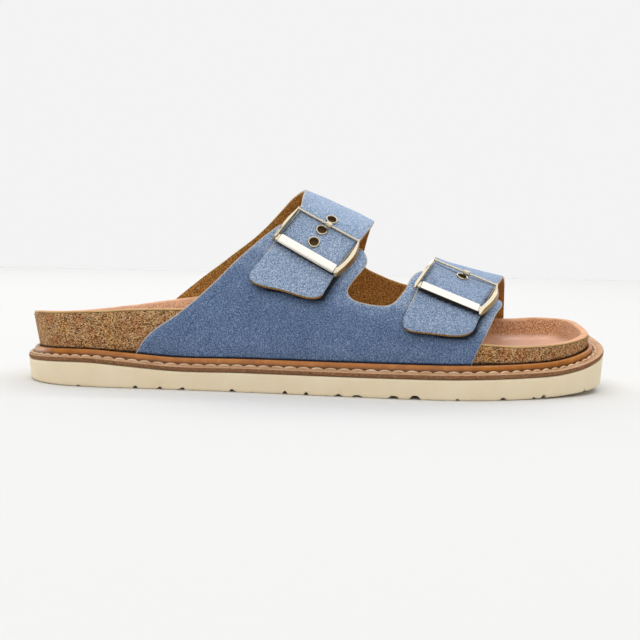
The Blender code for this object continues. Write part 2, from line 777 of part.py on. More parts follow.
def make_pin(name, spec, home, colour):
    """Sleeve that turns on the thin bar, and its short prong towards the eyelet."""
    (bar_a, bar_b), plate = buckle_corners(spec)
    centre = bar_a + (bar_b - bar_a) * spec["hub"]
    axis = (bar_b - bar_a) / np.linalg.norm(bar_b - bar_a)
    bm = bmesh.new()
    turns = [2 * math.pi * k / 14 for k in range(14)]
    u = Vector(axis).orthogonal().normalized()
    v = Vector(axis).cross(u)
    bore = 0.5 * BAR + 0.2
    rings = []
    for radius, shift in ((bore, -0.5), (SLEEVE_RADIUS, -0.5), (SLEEVE_RADIUS, 0.5), (bore, 0.5)):
        middle = Vector(centre) + Vector(axis) * SLEEVE_LENGTH * shift
        rings.append([vertex(bm, middle + (u * math.cos(a) + v * math.sin(a)) * radius) for a in turns])
    close_rings(bm, rings, closed=True)
    bmesh.ops.recalc_face_normals(bm, faces=bm.faces)
    pin = new_object(name, bm, colour, home)
    down = on_strap(*EYELETS[spec["pinned"]], PRONG_AIM) - centre
    length = np.linalg.norm(down)
    down /= length
    length = max(PRONG_SHARE * length, SLEEVE_RADIUS + 0.3)
    side = np.cross(axis, down)
    side /= np.linalg.norm(side)
    third = np.cross(down, side)
    prong = bmesh.new()
    turns = [math.pi * k / 4 for k in range(8)]
    around = [PRONG_RADIUS * (third * math.cos(a) + side * math.sin(a)) for a in turns]
    rings = []
    for reach in (SLEEVE_RADIUS - 0.2, length):
        rings.append([vertex(prong, centre + down * reach + spoke) for spoke in around])
    close_rings(prong, rings)
    prong.faces.new(rings[0][::-1])
    prong.faces.new(rings[-1])
    bmesh.ops.recalc_face_normals(prong, faces=prong.faces)
    return pin, prong


def main():
    for obj in list(bpy.data.objects):
        bpy.data.objects.remove(obj, do_unlink=True)
    home = bpy.data.collections.new("suede_sandal")
    cutters = bpy.data.collections.new("cutters")
    for group in (home, cutters):
        bpy.context.scene.collection.children.link(group)
    paint = {}
    for name, (r, g, b, rough, metal) in COLOURS.items():
        paint[name] = bpy.data.materials.new(name)
        paint[name].use_nodes = True
        shader = paint[name].node_tree.nodes["Principled BSDF"]
        shader.inputs["Base Color"].default_value = (r, g, b, 1.0)
        shader.inputs["Roughness"].default_value = rough
        shader.inputs["Metallic"].default_value = metal
    make_outsole(home, cutters, paint["outsole"])
    make_welt(home, paint["welt"])
    make_footbed(home, paint["footbed"])
    make_insole(home, paint["insole"])
    make_upper(home, cutters, paint["upper"])
    for name, (x, girth) in EYELETS.items():
        make_eyelet(name, x, girth, home, paint["metal"])
    for end, spec in BUCKLES.items():
        make_buckle(end + "_buckle", spec, home, paint["metal"])
        pin, prong = make_pin(end + "_pin", spec, home, paint["metal"])
        cut(pin, new_object(end + "_prong", prong, None, cutters), "UNION")
    low = EDGE_FINE[:, :2].min(0)
    high = EDGE_FINE[:, :2].max(0)
    for obj in list(home.objects) + list(cutters.objects):
        obj.location -= Vector((*(low + high) / 2, 0.0)) * MM


main()
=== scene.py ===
import math

import bpy
import numpy as np
from mathutils import Matrix, Vector
from mathutils.geometry import delaunay_2d_cdt


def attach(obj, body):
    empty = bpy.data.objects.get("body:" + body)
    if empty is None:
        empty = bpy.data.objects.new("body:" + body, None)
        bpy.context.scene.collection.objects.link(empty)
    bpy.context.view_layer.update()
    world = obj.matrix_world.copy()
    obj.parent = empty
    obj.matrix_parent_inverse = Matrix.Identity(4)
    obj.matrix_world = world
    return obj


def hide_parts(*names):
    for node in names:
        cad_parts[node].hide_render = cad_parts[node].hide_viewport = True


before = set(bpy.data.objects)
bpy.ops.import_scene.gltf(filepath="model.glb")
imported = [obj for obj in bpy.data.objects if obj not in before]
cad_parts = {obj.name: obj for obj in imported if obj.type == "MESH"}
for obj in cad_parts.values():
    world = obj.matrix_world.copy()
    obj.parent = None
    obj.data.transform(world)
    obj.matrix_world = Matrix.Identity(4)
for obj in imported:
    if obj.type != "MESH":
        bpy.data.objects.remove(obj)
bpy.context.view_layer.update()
bpy.ops.object.select_all(action="DESELECT")
mm = 0.001
weldReach = 0.0001 * mm


def columns(names, *rows):    # a table of rows, kept column by column
    return {name: np.array(column, float) for name, column in zip(names.split(), zip(*rows))}


# forms of the solids, in mm: the outer side is -y, stations run from the heel, x from the middle
soleForm = {"half": 130.0, "toeSpring": 4.3, "toeTwist": 0.011, "topTwist": 0.105, "twistAxis": -20.0,
    "springStart": 72.0, "heelBevel": 0.4, "bevelStart": -84.0, "splineSteps": 40, "sideSlope": 0.8,
    "heelTip": (1.5, 0.0), "toeTip": (259.4, 9.2),
    "outline": columns("station outer inner", (4, 13.2, 13.0), (11, 24.4, 24.0), (21, 31.4, 31.2),
    (35, 35.0, 35.0), (65, 37.2, 36.2), (100, 40.8, 36.2), (135, 46.0, 39.6), (165, 49.8, 44.8),
    (190, 51.0, 49.0), (214, 45.6, 49.8), (234, 36.8, 47.0), (249, 25.8, 40.0), (257, 14.0, 32.6)),
    "rows": columns("x top", (-130, 9.0), (-112, 10.1), (-95, 10.4), (-80, 9.4), (-62, 8.1), (-30, 8.2),
    (20, 8.3), (60, 8.6), (85, 9.2), (105, 10.6), (118, 13.0), (130, 16.4)),
    "notches": columns("x wide deep", (-100, 2.0, 0.8), (-75.5, 2.2, 1.3), (-65, 2.6, 1.2),
    (-55.4, 2.6, 1.2), (-34.5, 2.6, 1.3), (-12.3, 2.4, 1.5), (-3.4, 1.8, 1.4), (9.8, 3.4, 1.1),
    (17, 5.0, 1.0), (32, 5.0, 1.3), (40.5, 5.0, 1.7), (58, 1.8, 1.0), (77.5, 3.4, 1.3), (91.6, 1.8, 1.0),
    (96, 3.2, 1.5), (116.5, 2.6, 1.4))}
weltForm = {"thick": 2.0, "gap": 0.3, "upperGap": 0.36, "beadHigh": 2.95, "beadWide": 2.7,
    "innerEdge": 13.0, "bead": columns("x inset", (-130, 2.2), (-80, 3.9), (0, 5.6), (40, 5.6), (80, 4.4),
    (130, 4.8))}
footForm = {"coverRear": (-79.0, -87.0), "coverFront": (74.0, 98.0), "coverBlend": 9.0, "tuck": 0.4,
    "skin": 0.8, "lipCrisp": 0.5, "crispFrom": (85.0, 20.0), "toeFrom": (106.0, 10.0),
    "toeSlope": (-12.0, 36.0), "rows": columns("x floor outerRim innerRim outerWall innerWall flare lip",
    (-130, 24.6, 30.2, 28.6, 22, 22, 3.2, 0.8), (-115, 24.4, 31.0, 28.0, 22, 22, 2.9, 0.8),
    (-98, 24.2, 31.9, 29.6, 22, 22, 2.0, 0.8), (-70, 24.8, 33.3, 33.9, 22, 24, 0.4, 0.8),
    (-40, 25.6, 33.6, 38.2, 20, 26, 0.0, 0.8), (-5, 25.2, 30.8, 38.4, 18, 27, 0.0, 0.8),
    (30, 22.0, 26.8, 33.0, 16, 24, 0.0, 0.8), (60, 19.4, 23.4, 28.6, 14, 16, 0.0, 0.8),
    (90, 18.4, 21.7, 27.6, 12, 13, 0.0, 1.4), (115, 19.6, 23.8, 28.8, 12, 12, 0.6, 2.8),
    (130, 22.0, 28.0, 28.0, 12, 12, 1.2, 3.0))}
lastForm = {"wall": 2.0, "lap": 0.7, "outerFullness": 2.0, "innerFullness": 2.2, "seat": 1.0,
    "stations": (-98.0, 106.0), "girthSteps": 401, "arcSteps": 61,
    "rows": columns("x ridgeZ ridgeY", (-95, 103.0, 0.0), (-70, 103.0, 0.5), (-40, 98.5, 1.1),
    (-20, 90.2, 1.6), (-5, 84.0, 2.0), (10, 77.9, 2.5), (24, 71.6, 3.3), (40, 63.0, 4.2), (54, 55.4, 5.0),
    (70, 50.8, 5.9), (85, 47.4, 6.7), (100, 44.8, 7.5))}


def valueAt(rows, name, x):    # cubic through one column
    keys, values = rows["x"], rows[name]
    slopes = np.gradient(values, keys)
    x = np.clip(x, keys[0], keys[-1])
    i = np.clip(np.searchsorted(keys, x) - 1, 0, len(keys) - 2)
    span = keys[i + 1] - keys[i]
    t = (x - keys[i]) / span
    return ((1 + 2 * t) * (1 - t) ** 2 * values[i] + t * (1 - t) ** 2 * span * slopes[i]
        + t * t * (3 - 2 * t) * values[i + 1] + t * t * (t - 1) * span * slopes[i + 1])


def ease(t):
    t = np.clip(t, 0.0, 1.0)
    return t * t * (3 - 2 * t)


def rampUp(value, start, over):    # an eased step from zero to one
    return ease((value - start) / over)


def closedSpline(points, steps):    # centripetal, so tight corners keep their shape
    p = np.array(points, float)
    count = len(p)
    out = []
    for i in range(count):
        q = [p[(i + k) % count] for k in (-1, 0, 1, 2)]
        t = np.cumsum([0.0] + [math.sqrt(np.linalg.norm(b - a)) for a, b in zip(q, q[1:])])
        for u in np.linspace(t[1], t[2], steps, endpoint=False):
            level = q
            for width in (1, 2, 3):
                spans = [(t[k], t[k + width]) if width < 3 else (t[1], t[2]) for k in range(len(level) - 1)]
                level = [a * (hi - u) / (hi - lo) + b * (u - lo) / (hi - lo)
                    for a, b, (lo, hi) in zip(level, level[1:], spans)]
            out.append(level[0])
    return np.array(out)


def evenPoints(line, spans):
    run = np.r_[0.0, np.cumsum(np.linalg.norm(np.diff(line, axis=0), axis=1))]
    at = np.linspace(0.0, run[-1], spans + 1)
    return np.stack([np.interp(at, run, line[:, k]) for k in range(line.shape[1])], 1)


def soleEdge():    # x, y and outward normal, outer side to the toe and inner side back
    rows, steps = soleForm["outline"], soleForm["splineSteps"]
    forth = list(zip(rows["station"], -rows["outer"]))
    home = list(zip(rows["station"], rows["inner"]))[::-1]
    dense = closedSpline([soleForm["heelTip"]] + forth + [soleForm["toeTip"]] + home, steps)
    dense = dense - (soleForm["half"], 0.0)
    along = np.roll(dense, -1, 0) - np.roll(dense, 1, 0)
    along /= np.linalg.norm(along, axis=1)[:, None]
    return np.hstack([dense, along[:, 1:], -along[:, :1]]), (len(forth) + 1) * steps


fineEdge, toeIndex = soleEdge()
middle = np.r_[(fineEdge[:, :2].min(0) + fineEdge[:, :2].max(0)) / 2, 0.0]    # the row frame's origin


def edgeRing(steps):
    outer = evenPoints(fineEdge[:toeIndex + 1], steps)
    inner = evenPoints(np.vstack([fineEdge[toeIndex:], fineEdge[:1]]), steps)
    return np.vstack([outer[:-1], inner[:-1]])


def innerShare(ny):    # zero along the outer side, one along the inner
    return ease(0.5 + soleForm["sideSlope"] * ny)


def ringAt(edge, inset, height):
    x, y, nx, ny = edge.T
    share = innerShare(ny)
    d = inset(x, share) if callable(inset) else inset
    px, py = x - nx * d, y - ny * d
    return np.stack([px, py, height(px, py, share)], 1)


def levelRing(edge, inset, top, drop):    # a ring that runs a set depth below a surface
    return ringAt(edge, inset, lambda x, y, s: top(x, y) - drop)


def toeRise(x):
    start = soleForm["springStart"]
    return np.maximum((x - start) / (soleForm["half"] - start), 0.0) ** 2


def groundAt(x, y):
    run = np.maximum((soleForm["bevelStart"] - x) / (soleForm["half"] + soleForm["bevelStart"]), 0.0)
    spring = soleForm["toeSpring"] * toeRise(x) * (1 + soleForm["toeTwist"] * y)
    return spring + soleForm["heelBevel"] * run ** 2


def soleTop(x, y):
    twist = soleForm["topTwist"] * toeRise(x) * (y - soleForm["twistAxis"])
    return valueAt(soleForm["rows"], "top", x) + twist


def flangeTop(x, y):
    return soleTop(x, y) + weltForm["gap"] + weltForm["thick"]


def beadInset(x):
    return valueAt(weltForm["bead"], "inset", x)


def featherInset(x):
    return beadInset(x) + weltForm["beadWide"] + weltForm["upperGap"] + lastForm["wall"]


def footMix(outer, inner, x, share):
    return valueAt(footForm["rows"], outer, x) * (1 - share) + valueAt(footForm["rows"], inner, x) * share


def underUpper(x, share):    # one where the suede covers the cork
    blend = footForm["coverBlend"]
    rear, front = [a + (b - a) * share for a, b in (footForm["coverRear"], footForm["coverFront"])]
    return ease((x - rear + blend) / blend) * ease((front + blend - x) / blend)


def corkInset(x, share):
    bare = beadInset(x) + weltForm["beadWide"] + weltForm["gap"]
    return bare + (featherInset(x) + footForm["tuck"] - bare) * underUpper(x, share)


def rimInset(x, share):
    return corkInset(x, share) - valueAt(footForm["rows"], "flare", x) * (1 - underUpper(x, share))


def rimHeight(x, y, share):    # round the toe it falls evenly from the inner to the outer side
    toe = rampUp(x, *footForm["toeFrom"])
    share = share * (1 - toe) + rampUp(y, *footForm["toeSlope"]) * toe
    return footMix("outerRim", "innerRim", x, share)


fineRim = ringAt(fineEdge, rimInset, rimHeight)
fineRimShare = innerShare(fineEdge[:, 3])


def footHeight(x, y):    # the insole's face, and how far up its wall each point is
    x, y = np.atleast_1d(x), np.atleast_1d(y)
    away = np.hypot(fineRim[None, :, 0] - x[:, None], fineRim[None, :, 1] - y[:, None])
    k = away.argmin(1)
    wall = footMix("outerWall", "innerWall", x, fineRimShare[k])
    floor = valueAt(footForm["rows"], "floor", x)
    lip = valueAt(footForm["rows"], "lip", x)
    inward = np.maximum(away[np.arange(len(x)), k] - lip, 0.0) / (wall - lip)
    inward = np.minimum(inward, 1.0)
    crisp = footForm["lipCrisp"] * rampUp(x, *footForm["crispFrom"])
    rise = (0.5 + 0.5 * np.cos(np.pi * inward)) * (1 - crisp) + (1 - inward) ** 2 * crisp
    return floor + (fineRim[k, 2] - floor) * rise, rise


# modelling helpers
def selectOnly(*pieces):
    bpy.ops.object.select_all(action="DESELECT")
    for piece in pieces:
        piece.select_set(True)
    bpy.context.view_layer.objects.active = pieces[0]


def editAll(*steps):    # run edit-mode steps on the whole active mesh
    bpy.ops.object.mode_set(mode="EDIT")
    bpy.ops.mesh.select_all(action="SELECT")
    for step, settings in steps:
        step(**settings)
    bpy.ops.object.mode_set(mode="OBJECT")


def gridSkin(name, points, wrapColumns=True, wrapRows=False):    # a grid primitive, moved point by point
    points = np.array(points, float)
    points = np.concatenate([points, points[:, :1]], 1) if wrapColumns else points
    points = np.concatenate([points, points[:1]], 0) if wrapRows else points
    rows, cols = points.shape[:2]
    bpy.ops.mesh.primitive_grid_add(x_subdivisions=cols - 1, y_subdivisions=rows - 1, size=2.0)
    piece = bpy.context.object
    piece.name = piece.data.name = name
    co = np.array([v.co for v in piece.data.vertices])
    col = np.rint((co[:, 0] + 1) / 2 * (cols - 1)).astype(int)
    row = np.rint((co[:, 1] + 1) / 2 * (rows - 1)).astype(int)
    piece.data.vertices.foreach_set("co", ((points[row, col] - middle) * mm).ravel())
    piece.data.update()
    return piece


def fillRing(name, ring, across, height=None):    # rows across the sole that fill a ring of points
    half = len(ring) // 2
    rows = []
    for k in range(half + 1):
        a, b = ring[k], ring[-k % len(ring)]
        line = a + (b - a) * np.linspace(0, 1, across + 1)[:, None]
        if height is not None and 0 < k < half:
            line[1:-1, 2] = height(line[1:-1, 0], line[1:-1, 1])
        rows.append(line)
    return gridSkin(name, rows, wrapColumns=False)


def weld(*pieces):    # join, merge the shared borders and point the faces outwards
    selectOnly(*pieces)
    if len(pieces) > 1:
        bpy.ops.object.join()
    editAll((bpy.ops.mesh.remove_doubles, {"threshold": weldReach}),
        (bpy.ops.mesh.dissolve_degenerate, {"threshold": weldReach}),
        (bpy.ops.mesh.normals_make_consistent, {"inside": False}))
    return bpy.context.object


def meshPiece(name, points, faces):
    mesh = bpy.data.meshes.new(name)
    mesh.from_pydata([tuple((np.array(p) - middle) * mm) for p in points], [], faces)
    piece = bpy.data.objects.new(name, mesh)
    bpy.context.scene.collection.objects.link(piece)
    selectOnly(piece)
    return piece


def finishPiece(piece, materials, slot, *nodes, angle=40.0):
    for material in materials:
        piece.data.materials.append(material)
    selectOnly(piece)
    bpy.ops.object.shade_smooth_by_angle(angle=math.radians(angle))
    for node in nodes:
        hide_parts(node)
    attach(piece, "root")
    return piece


def vertexSpots(piece):    # in mm of the forms above, as are the next ones
    return np.array([v.co for v in piece.data.vertices]) / mm + middle


def faceSpots(piece):
    return np.array([f.center for f in piece.data.polygons]) / mm + middle


def paintFaces(piece, choose):    # material index from each face's middle and normal
    normals = np.array([f.normal for f in piece.data.polygons])
    piece.data.polygons.foreach_set("material_index", np.asarray(choose(faceSpots(piece), normals), int))


def storeValue(piece, name, values):
    layer = piece.data.attributes.new(name, "FLOAT", "POINT")
    layer.data.foreach_set("value", np.asarray(values, np.float32))


# materials
multiply = {"blend_type": "MULTIPLY", "Fac": 1.0}


def linear(text):    # sRGB hex to linear
    values = [int(text[k:k + 2], 16) / 255 for k in (1, 3, 5)]
    return tuple(v / 12.92 if v <= 0.04045 else ((v + 0.055) / 1.055) ** 2.4 for v in values) + (1.0,)


def outletOf(source):    # a socket as it is, or the first output of a node
    return source.outputs[0] if hasattr(source, "outputs") else source


def addNode(material, kind, settings=None, links=None, stops=None):
    item = material.node_tree.nodes.new(kind)
    for name, value in (settings or {}).items():
        if name in item.inputs:
            item.inputs[name].default_value = value
        else:
            setattr(item, name, value)
    for name, source in (links or {}).items():
        material.node_tree.links.new(outletOf(source), item.inputs[name])
    if stops:
        ramp = item.color_ramp.elements
        while len(ramp) < len(stops):
            ramp.new(0.5)
        for stop, (place, colour) in zip(ramp, stops):
            stop.position = place
            stop.color = linear(colour) if isinstance(colour, str) else (colour, colour, colour, 1.0)
    return item


def newMaterial(name, **settings):
    material = bpy.data.materials.new(name)
    material.use_nodes = True
    shader = material.node_tree.nodes["Principled BSDF"]
    for socket, value in settings.items():
        shader.inputs[socket.replace("_", " ")].default_value = value
    return material


def wireUp(material, **sources):    # link what drives the surface's sockets
    shader = material.node_tree.nodes["Principled BSDF"]
    for socket, source in sources.items():
        material.node_tree.links.new(outletOf(source), shader.inputs[socket.replace("_", " ")])
    return material


def shadeFoot(material, colour, low=0.2, high=0.9, least=0.1):    # painted shade: a dark line set by the height over the bead
    above = addNode(material, "ShaderNodeAttribute", {"attribute_name": "aboveBead"}).outputs["Fac"]
    dark = addNode(material, "ShaderNodeMapRange",
        {"From Min": low, "From Max": high, "To Min": least, "To Max": 1.0}, {"Value": above})
    return addNode(material, "ShaderNodeMixRGB", multiply, {"Color1": colour, "Color2": dark})


# a cut edge faces down from downTurn on, and inside the shoe it turns brown from liningFrom on; the lit keys
# set a painted highlight where the suede faces up, the shadow and overlapShade keys a painted shadow under
# straps and buckles
suedeLook = {"tones": (0.32, 0.5, 0.68), "brushed": 26.0, "brushShade": [(0.3, 0.82), (0.7, 1.0)],
    "overlapShade": [(0.0, 0.08), (0.08, 0.3), (0.3, 0.65), (1.0, 1.0)], "downTurn": 0.45,
    "liningFrom": 14.0, "shadowFrom": (-1.5, 1.1), "shadowReach": 2.6, "litTurn": (0.06, 0.4),
    "quarterLit": 0.9, "strapLit": 0.95, "frontDimmer": 0.2, "dimmerFrom": (22.0, 16.0)}


def nappedSuede(name, colours, sheen, sheenTint, grain=0.5, lit=None):    # brushed split leather, no gloss
    material = newMaterial(name, Roughness=0.95, Specular_IOR_Level=0.1, Sheen_Weight=sheen,
        Sheen_Roughness=0.5, Sheen_Tint=linear(sheenTint))
    place = addNode(material, "ShaderNodeTexCoord").outputs["Object"]
    nap = addNode(material, "ShaderNodeTexNoise",
        {"Scale": 1 / (grain * mm), "Detail": 3.0, "Roughness": 0.7}, {"Vector": place})
    tone = addNode(material, "ShaderNodeValToRGB", {}, {"Fac": nap}, list(zip(suedeLook["tones"], colours)))
    brush = addNode(material, "ShaderNodeTexNoise",
        {"Scale": 1 / (suedeLook["brushed"] * mm), "Detail": 4.0, "Roughness": 0.6, "Distortion": 0.6},
        {"Vector": place})
    shade = addNode(material, "ShaderNodeValToRGB", {}, {"Fac": brush}, suedeLook["brushShade"])
    colour = addNode(material, "ShaderNodeMixRGB", multiply, {"Color1": tone, "Color2": shade})
    bump = addNode(material, "ShaderNodeBump", {"Strength": 0.5, "Distance": 0.25 * mm}, {"Height": nap})
    if lit:    # painted highlight: paler where the suede faces up; painted shade along the bead, and painted shadow where straps and buckles lie on it
        upward = addNode(material, "ShaderNodeAttribute", {"attribute_name": "upward"}).outputs["Fac"]
        pale = addNode(material, "ShaderNodeValToRGB", {}, {"Fac": nap}, list(zip(suedeLook["tones"], lit)))
        colour = addNode(material, "ShaderNodeMixRGB", {},
            {"Fac": upward, "Color1": colour, "Color2": pale})
        colour = shadeFoot(material, colour)
        apart = addNode(material, "ShaderNodeAttribute", {"attribute_name": "fromStrap"}).outputs["Fac"]
        shade = addNode(material, "ShaderNodeValToRGB", {}, {"Fac": apart}, suedeLook["overlapShade"])
        colour = addNode(material, "ShaderNodeMixRGB", multiply, {"Color1": colour, "Color2": shade})
    return wireUp(material, Base_Color=colour, Normal=bump)


# each sliver has a tilt, a size, its cover and a colour
corkLook = {"chip": 0.7, "tear": 0.8, "tearBy": 0.0006, "cloud": 7.0, "lie": (0.55, 1.0, 1.0),
    "chips": [(0.0, "#5a3717"), (0.3, "#835a31"), (0.6, "#a97e51"), (0.85, "#c39b70"), (1.0, "#dab88e")],
    "slivers": ((0.75, 0.42, [(0.545, 0.0), (0.625, 0.9)], "#f2dcb8"),
    (-0.7, 0.4, [(0.555, 0.0), (0.635, 0.85)], "#e6c496"),
    (0.2, 0.36, [(0.36, 0.95), (0.44, 0.0)], "#3c2108")),
    "blush": [(0.35, "#f0d1b9"), (0.5, "#fbf1e3"), (0.68, "#fbe2bb")]}


def granulatedCork(name):    # pressed chips: mottled browns, pale slivers and dark pits
    material = newMaterial(name, Roughness=0.85, Specular_IOR_Level=0.2)
    place = addNode(material, "ShaderNodeTexCoord").outputs["Object"]
    wander = addNode(material, "ShaderNodeTexNoise", {"Scale": 1 / (corkLook["tear"] * mm), "Detail": 2.0},
        {"Vector": place})
    torn = addNode(material, "ShaderNodeMixRGB", {"blend_type": "LINEAR_LIGHT", "Fac": corkLook["tearBy"]},
        {"Color1": place, "Color2": wander.outputs["Color"]})
    chips = addNode(material, "ShaderNodeTexVoronoi",
        {"Scale": 1 / (corkLook["chip"] * mm), "Randomness": 1.0}, {"Vector": torn})
    one = addNode(material, "ShaderNodeSeparateColor", {}, {"Color": chips.outputs["Color"]})
    colour = addNode(material, "ShaderNodeValToRGB", {}, {"Fac": one}, corkLook["chips"])
    slivers = []
    for tilt, size, cover, paint in corkLook["slivers"]:
        lie = addNode(material, "ShaderNodeMapping",
            {"Rotation": (tilt, tilt, 0.0), "Scale": corkLook["lie"]}, {"Vector": place})
        slivers.append(addNode(material, "ShaderNodeTexNoise", {"Scale": 1 / (size * mm), "Detail": 1.0},
            {"Vector": lie}))
        mask = addNode(material, "ShaderNodeValToRGB", {}, {"Fac": slivers[-1]}, cover)
        colour = addNode(material, "ShaderNodeMixRGB", {"Color2": linear(paint)},
            {"Fac": mask, "Color1": colour})
    cloud = addNode(material, "ShaderNodeTexNoise", {"Scale": 1 / (corkLook["cloud"] * mm), "Detail": 3.0},
        {"Vector": place})
    blush = addNode(material, "ShaderNodeValToRGB", {}, {"Fac": cloud}, corkLook["blush"])
    colour = addNode(material, "ShaderNodeMixRGB", multiply, {"Color1": colour, "Color2": blush})
    height = addNode(material, "ShaderNodeMath", {"operation": "ADD"}, {0: slivers[0], 1: slivers[2]})
    bump = addNode(material, "ShaderNodeBump", {"Strength": 0.4, "Distance": 0.2 * mm}, {"Height": height})
    # painted shade: the cork darkens just above the bead
    return wireUp(material, Base_Color=shadeFoot(material, colour), Normal=bump)


def mouldedFoam(name):    # EVA: even, faintly clouded, dull satin
    material = newMaterial(name, Roughness=0.62, Specular_IOR_Level=0.35)
    place = addNode(material, "ShaderNodeTexCoord").outputs["Object"]
    cloud = addNode(material, "ShaderNodeTexNoise",
        {"Scale": 1 / (14 * mm), "Detail": 5.0, "Roughness": 0.6}, {"Vector": place})
    tone = addNode(material, "ShaderNodeValToRGB", {}, {"Fac": cloud}, [(0.3, "#f3e0bb"), (0.7, "#f8e8c9")])
    pore = addNode(material, "ShaderNodeTexNoise", {"Scale": 1 / (0.6 * mm), "Detail": 2.0},
        {"Vector": place})
    bump = addNode(material, "ShaderNodeBump", {"Strength": 0.12, "Distance": 0.1 * mm}, {"Height": pore})
    return wireUp(material, Base_Color=tone, Normal=bump)


def grainLeather(name, colours, rough, grain, depth, coat=0.0, foot=None):    # soft mottling, fine grain
    material = newMaterial(name, Roughness=rough, Specular_IOR_Level=0.4, Coat_Weight=coat,
        Coat_Roughness=0.3)
    place = addNode(material, "ShaderNodeTexCoord").outputs["Object"]
    mottle = addNode(material, "ShaderNodeTexNoise",
        {"Scale": 1 / (6 * mm), "Detail": 5.0, "Roughness": 0.65}, {"Vector": place})
    tone = addNode(material, "ShaderNodeValToRGB", {}, {"Fac": mottle},
        list(zip((0.3, 0.52, 0.72), colours)))
    pits = addNode(material, "ShaderNodeTexNoise",
        {"Scale": 1 / (grain * mm), "Detail": 3.0, "Roughness": 0.6}, {"Vector": place})
    bump = addNode(material, "ShaderNodeBump", {"Strength": depth, "Distance": 0.2 * mm}, {"Height": pits})
    return wireUp(material, Base_Color=shadeFoot(material, tone, *foot) if foot else tone, Normal=bump)


def footLeather(name):    # insole: polished pink floor, pebbled and more orange up the wall, smooth pale lip
    material = newMaterial(name, Specular_IOR_Level=0.5)
    place = addNode(material, "ShaderNodeTexCoord").outputs["Object"]
    wall = addNode(material, "ShaderNodeAttribute", {"attribute_name": "wallShare"}).outputs["Fac"]
    lip = addNode(material, "ShaderNodeAttribute", {"attribute_name": "lipShare"}).outputs["Fac"]
    mottle = addNode(material, "ShaderNodeTexNoise",
        {"Scale": 1 / (9 * mm), "Detail": 5.0, "Roughness": 0.6}, {"Vector": place})
    floorTone = addNode(material, "ShaderNodeValToRGB", {}, {"Fac": mottle},
        [(0.3, "#d09a7c"), (0.7, "#e0b095")])
    lipTone = addNode(material, "ShaderNodeValToRGB", {}, {"Fac": mottle},
        [(0.3, "#cf9467"), (0.7, "#dfa77c")])
    pebble = addNode(material, "ShaderNodeTexVoronoi", {"Scale": 1 / (0.8 * mm)}, {"Vector": place})
    wallTone = addNode(material, "ShaderNodeValToRGB", {}, {"Fac": pebble},
        [(0.12, "#e0ab78"), (0.4, "#b87b48"), (0.8, "#8f5628")])
    colour = addNode(material, "ShaderNodeMixRGB", {},
        {"Fac": wall, "Color1": floorTone, "Color2": wallTone})
    colour = addNode(material, "ShaderNodeMixRGB", {}, {"Fac": lip, "Color1": colour, "Color2": lipTone})
    rough = addNode(material, "ShaderNodeMapRange", {"To Min": 0.3, "To Max": 0.6}, {"Value": wall})
    bare = addNode(material, "ShaderNodeMath", {"operation": "SUBTRACT"}, {0: wall, 1: lip})
    height = addNode(material, "ShaderNodeMath", {"operation": "MULTIPLY"}, {0: pebble, 1: bare})
    bump = addNode(material, "ShaderNodeBump", {"Strength": 0.55, "Distance": 0.25 * mm, "invert": True},
        {"Height": height})
    return wireUp(material, Base_Color=colour, Roughness=rough, Normal=bump)


def platedBrass(name, colour, rough):    # polished plate with a little cloud in its gloss
    material = newMaterial(name, Metallic=1.0, Base_Color=linear(colour))
    place = addNode(material, "ShaderNodeTexCoord").outputs["Object"]
    cloud = addNode(material, "ShaderNodeTexNoise", {"Scale": 1 / (2.5 * mm), "Detail": 4.0},
        {"Vector": place})
    gloss = addNode(material, "ShaderNodeMapRange", {"To Min": rough - 0.06, "To Max": rough + 0.08},
        {"Value": cloud})
    return wireUp(material, Roughness=gloss)


# lit gives the paler tones of a painted highlight where the suede faces up
blueSuede = nappedSuede("blue suede", ("#384d71", "#637a9f", "#98aecd"), 0.35, "#d3ddee",
    lit=("#48628a", "#94a9c6", "#dde8f5"))
brownLining = nappedSuede("brown suede lining", ("#5c380c", "#a7793d", "#ecc276"), 0.1, "#e2bd82",
    grain=0.55)
paleEdge = nappedSuede("pale cut edge", ("#a89c90", "#c6bcb0", "#ddd5cc"), 0.0, "#ffffff")
tanEdge = nappedSuede("tan cut edge", ("#6a4a26", "#98733f", "#c0995e"), 0.0, "#ffffff", grain=0.6)
cork = granulatedCork("granulated cork")
foam = mouldedFoam("moulded foam")
flangeLeather = grainLeather("welt leather face", ("#b5875f", "#c59a73", "#d2ab88"), 0.55, 0.5, 0.2)
flangeEdge = nappedSuede("welt leather cut edge", ("#6f4a32", "#916748", "#ad835f"), 0.0, "#ffffff",
    grain=0.7)
beadLeather = grainLeather("caramel leather", ("#9c5a12", "#b56d1c", "#c98534"), 0.35, 0.4, 0.12, coat=0.2,
    foot=(-2.5, -1.3, 0.3))    # painted shade: darker towards the bead's foot, where it meets flange and stitches
insoleFace = footLeather("insole leather")
insoleEdge = grainLeather("insole cut edge", ("#bd9a5e", "#d3b277", "#e2c892"), 0.7, 0.4, 0.2)
thread = grainLeather("waxed thread", ("#cda680", "#dfbd98", "#edd5b6"), 0.6, 0.3, 0.3)
paleGold = platedBrass("pale gold plate", "#c0bcb4", 0.16)
frameGold = platedBrass("gold frame", "#b3a994", 0.2)
# painted shade: a darker gold for frame faces turned away from the light, a dark gold for the plate's
# underside
shadedGold = platedBrass("gold sides in painted shade", "#9a8058", 0.3)
shadowGold = platedBrass("gold underside in painted shade", "#3c362e", 0.5)
holeShade = newMaterial("shaded hole", Base_Color=linear("#5c431f"), Roughness=0.9)
print("materials made")

